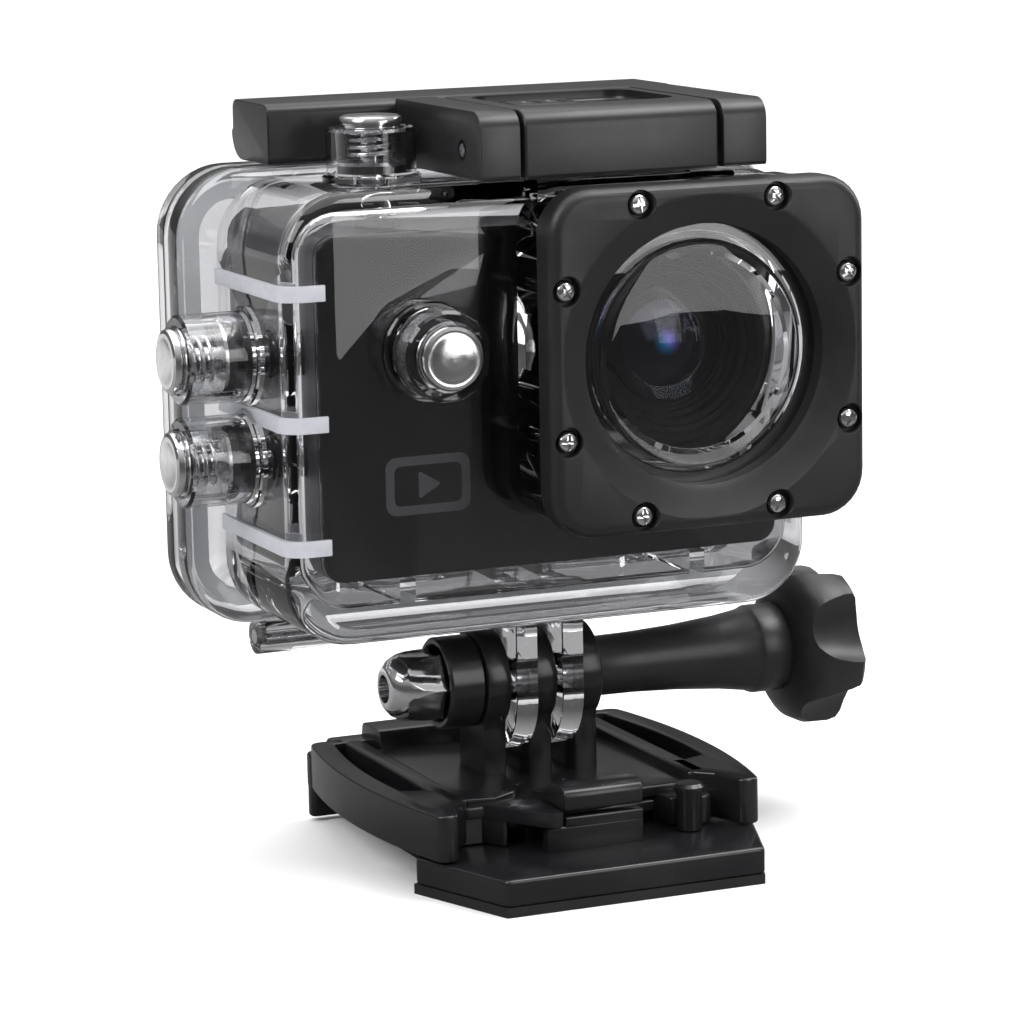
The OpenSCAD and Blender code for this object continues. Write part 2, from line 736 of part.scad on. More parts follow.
module latch_lock() {
    dish = latch_top - 1.3;
    color([0.1, 0.1, 0.11]) translate([lock_x, -1.5, 0]) {
        // thumb pad with three grip ridges
        translate([0, 0, dish + 0.05]) linear_extrude(0.6) rounded_rect(8, 7, 1.5);
        for (x = [-2.2, 0, 2.2]) translate([x, 0, dish + 0.6]) linear_extrude(0.5)
            rounded_rect(0.9, 5, 0.4);
        // neck through the slot, and the foot that keeps it in
        translate([0, 0, dish - 1.5]) linear_extrude(1.6) rounded_rect(4.6, 2.8, 1);
        translate([0, 0, dish - 2.1]) linear_extrude(0.7) rounded_rect(6.5, 6, 1);
    }
}

// ---------- camera ----------
module camera_front_panel() {
    color([0.09, 0.09, 0.1]) difference() {
        plate_y(cam_x, cam_z, cam_w, cam_h, cam_corner, cam_front, cam_front + panel_t);
        rod_y(-20, 0, lens_x, lens_z, 11.9);
        rod_y(-20, 0, power_x, power_z, key_r + 0.3);
    }
}

module camera_frame() {
    front = cam_front + panel_t;
    rear = cam_rear - 1.7;
    color([0.3, 0.3, 0.32]) difference() {
        plate_y(cam_x, cam_z, cam_w, cam_h, cam_corner, front, rear);
        plate_y(cam_x, cam_z, cam_w - 2 * skin, cam_h - 2 * skin, 1.2, front - 1, rear + 1);
        // holes for the keys
        translate([shutter_x, shutter_y, 70]) cylinder(h = 20, r = key_r + 0.3);
        for (z = [up_z, down_z]) rod_x(cam_left - 1, cam_left + 5, side_y, z, key_r + 0.3);
        // mouth of the battery bay
        box([cam_left + 4, cam_front + 4.5, cam_bottom - 1],
            [cam_left + 34, cam_rear - 4, cam_bottom + 3]);
        // sockets on the right side
        for (z = [51.5, 61]) box([cam_right - 3, 8.4, z - 2.4], [cam_right + 1, 13.2, z + 2.4]);
        box([cam_right - 3, 1.2, 44.9], [cam_right + 1, 12.5, 46.3]);
        // speaker holes on top
        for (x = [8 : 2 : 16]) translate([x, 5, 70]) cylinder(h = 20, r = 0.5);
    }
}

module camera_back_panel() {
    color([0.09, 0.09, 0.1]) difference() {
        plate_y(cam_x, cam_z, cam_w, cam_h, cam_corner, cam_rear - 1.7, cam_rear);
        plate_y(cam_x, cam_z, 46.05, 33.05, 1, cam_rear - 1, cam_rear + 1);
        plate_y(cam_x, cam_z, 42, 29, 1, cam_rear - 3, cam_rear + 1);
    }
}

module screen_glass() {
    color([0.1, 0.12, 0.15]) plate_y(cam_x, cam_z, 46, 33, 0.98, cam_rear - 0.98, cam_rear);
}

module screen_module() {
    color([0.25, 0.27, 0.3]) plate_y(cam_x, cam_z, 44, 31, 0.5, cam_rear - 3.8, cam_rear - 1.75);
}

module main_board() {
    y1 = cam_rear - 4.0;
    color([0.1, 0.35, 0.2]) {
        plate_y(cam_x, cam_z + 1, 54, 35, 1, y1 - 1.0, y1);
        // two sockets, the card holder and a chip
        box([cam_right - 7.5, y1 - 4.6, 59.0], [cam_right - 0.4, y1 - 1 + eps, 63.0]);
        box([cam_right - 7.5, y1 - 4.0, 49.6], [cam_right - 0.4, y1 - 1 + eps, 53.4]);
        box([cam_right - 15, 3, 43.6], [cam_right - 2.4, y1 - 1 + eps, 44.9]);
        box([-24, y1 - 2.2, 66], [-14, y1 - 1 + eps, 74]);
    }
}

module sensor_board() {
    color([0.1, 0.35, 0.2]) plate_y(lens_x, lens_z, 19, 19, 1, 4.6, 5.8);
}

// square foot and threaded tube that hold the lens over the sensor
module lens_holder() {
    color([0.12, 0.12, 0.13]) difference() {
        union() {
            plate_y(lens_x, lens_z, 17, 17, 1, 0.4, 4.58);
            rod_y(-5.6, 0.5, lens_x, lens_z, 7.6);
        }
        rod_y(-20, 2, lens_x, lens_z, 6.6);
        plate_y(lens_x, lens_z, 9, 9, 0.5, 1, 10);
    }
}

// the camera's own lens surround: an outer ring with two steps inside
module lens_rings() {
    color([0.07, 0.07, 0.08]) translate([lens_x, lens_front, lens_z]) rotate([-90, 0, 0])
        rotate_extrude()
        polygon([[6.4, 13], [5.0, 13], [5.0, 4.4], [7.2, 4.0], [7.2, 2.8], [8.8, 2.2],
            [8.8, 1.2], [10.2, 0.5], [10.5, 0],
                 [11.4, 0], [11.8, 0.4], [11.8, 5.9], [6.4, 5.9]]);
}

module lens_glass() {
    color([0.1, 0.12, 0.2, 0.6]) translate([lens_x, lens_front, lens_z])
        rotate([-90, 0, 0]) rotate_extrude()
        polygon([[0, 1.4], [2.6, 1.7], [4.6, 2.6], [6.9, 3.2], [6.9, 3.98], [5.2, 4.2],
            [4.7, 4.2], [2.6, 3.2], [0, 2.9]]);
}

module lens_rear_glass() {
    color([0.1, 0.12, 0.2, 0.6]) translate([lens_x, lens_front, lens_z])
        rotate([-90, 0, 0]) rotate_extrude()
        polygon([[0, 8.0], [4.96, 8.6], [4.96, 11.8], [0, 12.2]]);
}

module battery() {
    color([0.2, 0.25, 0.6]) box([cam_left + 4.5, cam_front + 5.5, cam_bottom + 1.9],
                                [cam_left + 33.3, cam_rear - 8.4, cam_bottom + 30]);
}

module battery_door() {
    color([0.3, 0.3, 0.32]) {
        box([cam_left + 4.1, cam_front + 4.6, cam_bottom],
            [cam_left + 33.9, cam_rear - 4.1, cam_bottom + 1.4]);
    }
}

module memory_card() {
    color([0.1, 0.1, 0.12]) box([cam_right - 15, 1.6, 45.1], [cam_right - 0.3, 12, 46.1]);
}

module speaker() {
    color([0.15, 0.15, 0.16]) translate([12, 5, cam_top - 5]) cylinder(h = 3.2, r = 5.5);
}

// keys of the camera itself, each pressed by its plunger
module key(below) {
    translate([0, 0, -below]) cylinder(h = below + 1, r = key_r);
    translate([0, 0, -below - 0.9]) cylinder(h = 0.9 + eps, r = key_r + 1);
}

module shutter_key() { color([0.6, 0.6, 0.62]) translate([shutter_x, shutter_y, cam_top]) key(1.7); }
module up_key() { color([0.6, 0.6, 0.62]) translate([cam_left, side_y, up_z])
    rotate([0, -90, 0]) key(1.7); }
module down_key() { color([0.6, 0.6, 0.62]) translate([cam_left, side_y, down_z])
    rotate([0, -90, 0]) key(1.7); }

module power_key() {
    color([0.6, 0.6, 0.62]) translate([power_x, cam_front, power_z]) rotate([90, 0, 0]) {
        translate([0, 0, -panel_t - 0.1]) cylinder(h = panel_t + 0.35, r = key_r);
        translate([0, 0, -panel_t - 1]) cylinder(h = 0.9 + eps, r = key_r + 1);
    }
}

mount_base();
adhesive_pad();
buckle();
cap_nut();
thumb_bolt();
thumb_knob();
case_shell();
case_door();
door_seal();
door_hinge_pin();
lens_plate();
lens_plate_screws();
lens_window();
window_seal();
button_seals();
button_washers();
shutter_plunger();
shutter_spring();
shutter_clip();
power_plunger();
power_spring();
power_clip();
up_plunger();
up_spring();
up_clip();
down_plunger();
down_spring();
down_clip();
latch_frame();
latch_hinge_pin();
latch_lever();
latch_lever_pin();
latch_lock();
camera_front_panel();
camera_frame();
camera_back_panel();
screen_glass();
screen_module();
main_board();
sensor_board();
lens_holder();
lens_rings();
lens_glass();
lens_rear_glass();
battery();
battery_door();
memory_card();
speaker();
shutter_key();
power_key();
up_key();
down_key();
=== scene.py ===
"""Action camera in its clear diving case, on a quick-release buckle and an adhesive base plate."""
import math

import bpy
from mathutils import Matrix, Vector


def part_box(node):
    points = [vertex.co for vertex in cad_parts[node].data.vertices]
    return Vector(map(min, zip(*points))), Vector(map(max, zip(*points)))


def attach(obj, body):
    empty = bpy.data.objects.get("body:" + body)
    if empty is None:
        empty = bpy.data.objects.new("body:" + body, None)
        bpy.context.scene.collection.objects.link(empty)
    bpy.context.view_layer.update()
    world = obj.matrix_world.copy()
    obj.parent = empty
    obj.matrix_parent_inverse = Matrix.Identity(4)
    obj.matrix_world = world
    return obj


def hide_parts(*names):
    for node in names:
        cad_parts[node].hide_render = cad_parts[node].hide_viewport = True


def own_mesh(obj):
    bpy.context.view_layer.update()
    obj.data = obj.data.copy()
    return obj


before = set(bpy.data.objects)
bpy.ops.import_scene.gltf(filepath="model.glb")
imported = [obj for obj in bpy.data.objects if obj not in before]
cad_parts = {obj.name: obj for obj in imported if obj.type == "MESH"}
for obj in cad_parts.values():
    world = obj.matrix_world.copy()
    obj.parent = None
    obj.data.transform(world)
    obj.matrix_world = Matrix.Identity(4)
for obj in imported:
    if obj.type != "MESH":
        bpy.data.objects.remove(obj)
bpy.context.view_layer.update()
MM = 0.001
FULL_TURN = 2 * math.pi


# ---------------------------------------------------------------- shaping
def alone(piece):
    """Selects this piece and nothing else, in object mode."""
    if bpy.context.mode != "OBJECT":
        bpy.ops.object.mode_set(mode="OBJECT")
    bpy.ops.object.select_all(action="DESELECT")
    piece.select_set(True)
    bpy.context.view_layer.objects.active = piece
    return piece


def settle(piece):
    """Puts the piece's place and turn into its mesh."""
    alone(piece)
    bpy.ops.object.transform_apply(location=True, rotation=True, scale=True)
    return piece


def rounded(corners, steps=6):
    """Outline with its corners rounded: corners are (x, y, radius)."""
    out = []
    for i, (x, y, r) in enumerate(corners):
        here = Vector((x, y))
        if r <= 0:
            out.append((x, y))
            continue
        before = Vector(corners[i - 1][:2]) - here
        after = Vector(corners[(i + 1) % len(corners)][:2]) - here
        half = before.angle(after) / 2
        reach = min(r / math.tan(half), 0.49 * before.length, 0.49 * after.length)
        r = reach * math.tan(half)
        before.normalize()
        after.normalize()
        centre = here + (before + after).normalized() * (r / math.sin(half))
        start = here + before * reach - centre
        end = here + after * reach - centre
        a0 = math.atan2(start.y, start.x)
        turn = (math.atan2(end.y, end.x) - a0 + math.pi) % FULL_TURN - math.pi
        for k in range(steps + 1):
            a = a0 + turn * k / steps
            out.append((centre.x + r * math.cos(a), centre.y + r * math.sin(a)))
    return out


def rect(x0, y0, x1, y1, r, steps=6):
    """Rectangle outline with its four corners rounded."""
    return rounded([(x0, y0, r), (x1, y0, r), (x1, y1, r), (x0, y1, r)], steps)


def arc(centre, radius, first, last, step):
    """Sharp outline corners on a circle, one every step degrees from first until last."""
    return [(centre[0] + radius * math.cos(math.radians(a)), centre[1] + radius * math.sin(math.radians(a)), 0)
            for a in range(first, last, step)]


def at(plane, a, b, c):
    """A point from two coordinates in a plane and one across it, in metres."""
    return {"XY": Vector((a, b, c)), "XZ": Vector((a, c, b)), "YZ": Vector((c, a, b))}[plane] * MM


def prism(name, outline, plane, low, high):
    """A flat outline drawn in a plane and extruded across it, from low to high."""
    bpy.ops.object.select_all(action="DESELECT")
    bpy.ops.mesh.primitive_circle_add(vertices=len(outline), radius=MM, fill_type="NGON")
    piece = bpy.context.object
    piece.name = name
    for v, (a, b) in zip(piece.data.vertices, outline):
        v.co = at(plane, a, b, low)
    bpy.ops.object.mode_set(mode="EDIT")
    bpy.ops.mesh.select_all(action="SELECT")
    bpy.ops.mesh.extrude_region_move(TRANSFORM_OT_translate={"value": at(plane, 0, 0, high - low)})
    bpy.ops.mesh.select_all(action="SELECT")
    bpy.ops.mesh.normals_make_consistent(inside=False)
    bpy.ops.object.mode_set(mode="OBJECT")
    return piece


def block(name, low, high):
    """A plain block between two opposite corners."""
    return prism(name, rect(low[0], low[1], high[0], high[1], 0), "XY", low[2], high[2])


def lathe(name, profile, axis, centre, steps=72):
    """A profile of (radius, distance along the axis) turned about an axis through centre."""
    bpy.ops.object.select_all(action="DESELECT")
    bpy.ops.mesh.primitive_circle_add(vertices=len(profile), radius=MM, fill_type="NOTHING")
    piece = bpy.context.object
    piece.name = name
    for v, (r, along) in zip(piece.data.vertices, profile):
        v.co = Vector((r, 0, along)) * MM
    for e in piece.data.edges:
        e.select = all(piece.data.vertices[i].co.x < 1e-7 for i in e.vertices)
    for v in piece.data.vertices:
        v.select = False
    bpy.ops.object.mode_set(mode="EDIT")
    bpy.ops.mesh.select_mode(type="EDGE")
    bpy.ops.mesh.delete(type="EDGE_FACE")
    bpy.ops.mesh.select_mode(type="VERT")
    bpy.ops.mesh.select_all(action="SELECT")
    bpy.ops.mesh.spin(steps=steps, angle=FULL_TURN, center=(0, 0, 0), axis=(0, 0, 1))
    bpy.ops.mesh.select_all(action="SELECT")
    bpy.ops.mesh.remove_doubles(threshold=1e-6)
    bpy.ops.mesh.normals_make_consistent(inside=False)
    bpy.ops.object.mode_set(mode="OBJECT")
    turns = {"X": Matrix.Rotation(math.pi / 2, 4, "Y"), "Y": Matrix.Rotation(-math.pi / 2, 4, "X"),
             "Z": Matrix.Identity(4)}
    piece.matrix_world = Matrix.Translation(Vector(centre) * MM) @ turns[axis]
    return settle(piece)


def rod(name, axis, centre, radius, low, high, chamfer=0.0, steps=64):
    """A round bar along an axis, with its ends chamfered if asked."""
    c = chamfer
    profile = [(0, low), (radius - c, low), (radius, low + c), (radius, high - c), (radius - c, high), (0, high)]
    if not c:
        profile = [(0, low), (radius, low), (radius, high), (0, high)]
    return lathe(name, profile, axis, centre, steps)


def use_modifier(piece, kind, **settings):
    """Adds a modifier with these settings and applies it."""
    alone(piece)
    modifier = piece.modifiers.new("work", kind)
    for key, value in settings.items():
        setattr(modifier, key, value)
    bpy.ops.object.modifier_apply(modifier=modifier.name)
    return piece


def ease(piece, width, segments=3, angle=30):
    """Rounds every edge sharper than the angle."""
    return use_modifier(piece, "BEVEL", width=width * MM, segments=segments, limit_method="ANGLE",
                        angle_limit=math.radians(angle), miter_outer="MITER_ARC")


def shape(piece, operation, *tools):
    """Cuts, joins or intersects a piece with each tool, which is used up."""
    for tool in tools:
        use_modifier(piece, "BOOLEAN", operation=operation, object=tool, solver="EXACT")
        bpy.data.objects.remove(tool)
    return piece


def cut(piece, *tools):
    return shape(piece, "DIFFERENCE", *tools)


def weld(piece, *others):
    return shape(piece, "UNION", *others)


def gather(name, *pieces):
    """Several closed pieces as one object."""
    alone(pieces[0])
    for p in pieces:
        p.select_set(True)
    bpy.ops.object.join()
    pieces[0].name = name
    return pieces[0]


def copy_of(piece, name, matrix):
    """A copy with its own mesh, moved or mirrored by the matrix."""
    twin = piece.copy()
    twin.data = piece.data.copy()
    twin.name = name
    bpy.context.scene.collection.objects.link(twin)
    twin.matrix_world = matrix
    return settle(twin)


def smooth(piece, angle=35):
    """Smooth shading across edges flatter than the angle."""
    alone(piece)
    bpy.ops.object.shade_smooth_by_angle(angle=math.radians(angle))
    return piece


# ---------------------------------------------------------------- finishes
class Value:
    """A shader socket that takes part in arithmetic."""

    def __init__(self, nodes, socket):
        self.nodes, self.socket = nodes, socket

    def math(self, operation, a, b):
        return self.nodes.node("ShaderNodeMath", {"operation": operation}, {0: a, 1: b})

    def __add__(self, other): return self.math("ADD", self, other)
    def __radd__(self, other): return self.math("ADD", other, self)
    def __sub__(self, other): return self.math("SUBTRACT", self, other)
    def __rsub__(self, other): return self.math("SUBTRACT", other, self)
    def __mul__(self, other): return self.math("MULTIPLY", self, other)
    def __rmul__(self, other): return self.math("MULTIPLY", other, self)
    def __pow__(self, other): return self.math("POWER", self, other)
    def __rpow__(self, other): return self.math("POWER", other, self)


class Nodes:
    """A node tree and the one way a node is added to it."""

    def __init__(self, tree):
        self.tree = tree

    def node(self, kind, settings=None, inputs=None, output=0):
        node = self.tree.nodes.new(kind)
        for key, value in (settings or {}).items():
            if key == "stops":
                for stop, (where, colour) in zip(node.color_ramp.elements, value):
                    stop.position, stop.color = where, colour
            else:
                setattr(node, key, value)
        for key, value in (inputs or {}).items():
            if isinstance(value, Value):
                self.tree.links.new(value.socket, node.inputs[key])
            else:
                node.inputs[key].default_value = value
        return Value(self, node.outputs[output])

    def stretch(self, value, low, high, to_low, to_high):
        """Maps low..high to to_low..to_high, held at both ends."""
        return self.node("ShaderNodeMapRange", {}, {0: value, 1: low, 2: high, 3: to_low, 4: to_high})

    def blend(self, factor, low, high):
        """Runs from colour low to colour high by factor; either may be a link."""
        ends = [end if isinstance(end, Value) else (*end, 1) for end in (low, high)]
        return self.node("ShaderNodeMix", {"data_type": "RGBA"}, {0: factor, 6: ends[0], 7: ends[1]}, 2)

    def split(self, vector):
        """The three coordinates of a vector."""
        first = self.node("ShaderNodeSeparateXYZ", {}, {0: vector})
        return [Value(self, output) for output in first.socket.node.outputs]


class Finish(Nodes):
    """One material: a Principled surface, with what varies over it linked in."""

    def __init__(self, name):
        self.material = bpy.data.materials.new(name)
        self.material.use_nodes = True
        super().__init__(self.material.node_tree)
        self.surface = self.tree.nodes["Principled BSDF"]
        self.place = self.node("ShaderNodeTexCoord", output="Object")

    def noise(self, scale, detail=3.0, roughness=0.5, vector=None, **more):
        return self.node("ShaderNodeTexNoise", {}, {"Vector": vector or self.place, "Scale": scale,
                                                    "Detail": detail, "Roughness": roughness, **more})

    def bump(self, height, strength, distance=0.0001, after=None):
        inputs = {"Height": height, "Strength": strength, "Distance": distance}
        if after is not None:
            inputs["Normal"] = after
        return self.node("ShaderNodeBump", {}, inputs)

    def set(self, **sockets):
        """Links or sets sockets of the surface, named with _ for each space."""
        for key, value in sockets.items():
            socket = self.surface.inputs[key.replace("_", " ")]
            if isinstance(value, Value):
                self.tree.links.new(value.socket, socket)
            else:
                socket.default_value = value
        return self


def moulded(name, dark, light, rough_low, rough_high, grain, grain_scale=9000.0, ior=1.47):
    """Moulded plastic: fine grain, faint flow clouding and a slightly uneven gloss."""
    f = Finish(name)
    clouds = f.noise(60.0, 4.0)
    fine = f.noise(grain_scale, 2.0)
    scuffs = f.noise(350.0, 6.0, 0.7)
    f.set(Base_Color=f.blend(f.stretch(clouds, 0.35, 0.7, 0.0, 1.0), dark, light),
          Roughness=f.stretch(scuffs, 0.3, 0.75, rough_low, rough_high),
          Normal=f.bump(fine, grain, 0.00003, f.bump(clouds, 0.012, 0.0002)), IOR=ior)
    return f.material


def metal(name, colour, tarnish, rough_low, rough_high, ring_axis=None):
    """Polished or turned metal; ring_axis names the two coordinates and the centre of its turning marks."""
    f = Finish(name)
    spots = f.noise(900.0, 4.0)
    height = f.noise(2500.0, 2.0)
    strength = 0.02
    if ring_axis:
        parts = f.split(f.place)
        (i, a), (j, b) = ring_axis
        u, v = parts[i] - a * MM, parts[j] - b * MM
        radius = (u * u + v * v) ** 0.5
        height = f.noise(1.0, 2.0, 0.6, f.node("ShaderNodeCombineXYZ", {}, {0: radius * 9000.0}))
        strength = 0.22
    f.set(Base_Color=f.blend(f.stretch(spots, 0.4, 0.75, 0.0, 1.0), colour, tarnish), Metallic=1.0,
          Roughness=f.stretch(spots, 0.3, 0.7, rough_low, rough_high),
          Normal=f.bump(height, strength, 0.00003))
    return f.material


def clear(name, tint, roughness, ior, wave=0.03, shade=0.82):
    """See-through plastic or glass that lets light past it into what it covers."""
    f = Finish(name)
    ripple = f.noise(45.0, 2.0)
    f.set(Base_Color=(*tint, 1), Roughness=roughness, IOR=ior, Transmission_Weight=1.0,
          Normal=f.bump(ripple, wave, 0.0004))
    shadow = f.node("ShaderNodeLightPath", output="Is Shadow Ray")
    through = f.node("ShaderNodeBsdfTransparent")
    mix = f.node("ShaderNodeMixShader", {}, {0: shadow * shade, 1: Value(f, f.surface.outputs[0]), 2: through})
    f.tree.links.new(mix.socket, f.tree.nodes["Material Output"].inputs[0])
    return f.material


mount_black = moulded("mount_black", (0.006, 0.006, 0.007), (0.011, 0.011, 0.012), 0.2, 0.27, 0.04)
latch_black = moulded("latch_black", (0.009, 0.009, 0.01), (0.015, 0.015, 0.016), 0.28, 0.36, 0.12)
plate_black = moulded("plate_black", (0.007, 0.007, 0.008), (0.012, 0.012, 0.013), 0.36, 0.48, 0.14)
knob_black = moulded("knob_black", (0.009, 0.009, 0.01), (0.016, 0.016, 0.017), 0.3, 0.42, 0.1)
panel_black = moulded("panel_black", (0.006, 0.006, 0.007), (0.01, 0.01, 0.011), 0.12, 0.2, 0.03)
body_grey = moulded("body_grey", (0.022, 0.022, 0.024), (0.034, 0.034, 0.037), 0.3, 0.42, 0.15)
lens_black = moulded("lens_black", (0.003, 0.003, 0.003), (0.006, 0.006, 0.006), 0.4, 0.5, 0.05, 9000.0, 1.14)
foam_black = moulded("foam_black", (0.007, 0.007, 0.007), (0.012, 0.012, 0.012), 0.6, 0.8, 0.5, 3000.0)
rubber_black = moulded("rubber_black", (0.01, 0.01, 0.01), (0.02, 0.02, 0.02), 0.35, 0.5, 0.2)
silicone = moulded("silicone", (0.62, 0.64, 0.66), (0.78, 0.79, 0.8), 0.3, 0.45, 0.1)
board_green = moulded("board_green", (0.01, 0.08, 0.03), (0.03, 0.16, 0.07), 0.3, 0.5, 0.3, 2000.0)
wrap_blue = moulded("wrap_blue", (0.02, 0.03, 0.16), (0.04, 0.06, 0.24), 0.25, 0.4, 0.1)
print_grey = moulded("print_grey", (0.045, 0.045, 0.048), (0.06, 0.06, 0.064), 0.4, 0.5, 0.1)
chrome = metal("chrome", (0.82, 0.82, 0.83), (0.72, 0.72, 0.74), 0.05, 0.12)
steel = metal("steel", (0.6, 0.6, 0.61), (0.45, 0.45, 0.46), 0.2, 0.34)
clear_case = clear("clear_case", (0.94, 0.94, 0.955), 0.012, 1.49, 0.05, 0.75)
window_glass = clear("window_glass", (0.99, 0.995, 1.0), 0.0, 1.5, 0.0, 0.9)
optic_glass = clear("optic_glass", (0.55, 0.56, 0.66), 0.0, 1.3, 0.0, 0.9)


def frosted_strip():
    """Clear plastic with a sandblasted face, paler and darker in random patches."""
    f = Finish("frosted_clear")
    haze = f.noise(700.0, 4.0)
    f.set(Base_Color=f.blend(haze, (0.56, 0.57, 0.62), (0.72, 0.73, 0.78)), Roughness=0.3, IOR=1.45,
          Transmission_Weight=0.45, Normal=f.bump(f.noise(5000.0, 2.0), 0.2, 0.00003))
    return f.material


frosted = frosted_strip()


def finish_node(node, material):
    """A CAD node keeps its shape and takes this material."""
    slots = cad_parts[node].material_slots
    for s in slots:
        s.material = material
    if not slots:
        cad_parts[node].data.materials.append(material)


def place(piece, body, material, replaces=(), angle=35):
    """Finishes a new piece: material, smoothing, the body it moves with and the nodes it stands for."""
    if material is not None:
        piece.data.materials.clear()
        piece.data.materials.append(material)
    smooth(piece, angle)
    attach(piece, body)
    if replaces:
        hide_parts(*replaces)
    return piece


# ---------------------------------------------------------------- sizes from the CAD
def box_mm(node):
    """Lowest and highest corner of a CAD node, in millimetres."""
    low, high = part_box(node)
    return low / MM, high / MM


base_low, base_high = box_mm("mount_base")
camera_low, camera_high = box_mm("camera_front_panel")
plate_low, plate_high = box_mm("lens_plate")
latch_low, latch_high = box_mm("latch_frame")
lever_low, lever_high = box_mm("latch_lever")
door_pin_low, door_pin_high = box_mm("door_hinge_pin")
bolt_low, bolt_high = box_mm("thumb_bolt")
rings_front = box_mm("lens_rings")[0].y

screw_y = (bolt_low.y + bolt_high.y) / 2
screw_z = (bolt_low.z + bolt_high.z) / 2
lens_x = (plate_low.x + plate_high.x) / 2
lens_z = (plate_low.z + plate_high.z) / 2
screw_axis = (0, screw_y, screw_z)
lens_axis = (lens_x, 0, lens_z)
plate_front = plate_low.y
plate_back = plate_high.y
hinge_y = (door_pin_low.y + door_pin_high.y) / 2
hinge_z = (door_pin_low.z + door_pin_high.z) / 2
shell = {"left": -35.2, "right": 32.8, "bottom": 29.6, "top": 83.4, "front": -10.0, "rear": 17.3}
door = {"left": -40.2, "right": 38.8, "bottom": 28.8, "top": 84.8, "front": 17.8, "rear": 21.5}
SHELL_KNUCKLES = ((-30, -17), (-5.5, 8.5), (20, 33))
DOOR_KNUCKLES = ((-16.7, -5.8), (8.8, 19.7))
KNUCKLE_RADIUS, DOOR_PIN_HOLE = 2.25, 0.95
hinge = (hinge_y, hinge_z)
LATCH_LUGS = ((-22.5, -18.5), (13.5, 17.5))
latch_pivot = (19.6, 88.5)
lever_pin = (0, -10.1, 87.6)
finger = (screw_y, screw_z)
SCREW_SPREAD, SCREW_REACH = 8.85, 18.45


def plate_screw_places():
    """Where each of the eight plate screws sits: two along every side; gives (side, end, matrix)."""
    centre = Matrix.Translation(Vector((lens_x, 0, lens_z)) * MM)
    for side in range(4):
        for end in (-1, 1):
            out = Matrix.Translation(Vector((end * SCREW_SPREAD, 0, SCREW_REACH)) * MM)
            yield side, end, centre @ Matrix.Rotation(side * math.pi / 2, 4, "Y") @ out


# ---------------------------------------------------------------- base plate and buckle
def make_base():
    front, nose, widest = base_low.y, 16.7, base_high.x
    outline = rounded([(-nose, front, 0.8), (nose, front, 0.8), (widest, front + 15.2, 1.2), (16, front + 19.2, 3),
                       (16, base_high.y - 3, 2), (13, base_high.y, 1.5), (-13, base_high.y, 1.5),
                       (-16, base_high.y - 3, 2), (-16, front + 19.2, 3), (-widest, front + 15.2, 1.2)])
    body = ease(prism("base_plate", outline, "XY", base_low.z, 4.5), 0.45, 3)
    rail = [block("rail_stem", (-7.4, -13, 4.3), (7.4, 20, 6.2)),
            block("rail_head", (-9.8, -13, 6.1), (9.8, 20, 7.5))]
    wall = ease(block("rail_end", (-7.4, -19.8, 4.2), (5.1, -17.9, 7.5)), 0.25)
    lip = ease(block("tongue_stop", (-5.1, -19.8, 7.2), (5.1, -17.9, 8.55)), 0.2)
    piece = gather("base_plate", body, *[ease(r, 0.3) for r in rail], wall, lip)
    place(piece, "mount", mount_black, ["mount_base"])
    finish_node("adhesive_pad", foam_black)


def spread(a, b, count):
    """Evenly spaced values from a to b."""
    return [a + (b - a) * i / (count - 1) for i in range(count)]


def arm_edge(y, inset=0.0):
    """How far out the bowed edge of a buckle arm is at y."""
    bow, radius = 23.6, 93.0
    return bow - radius + math.sqrt((radius - inset) ** 2 - (y - screw_y) ** 2)


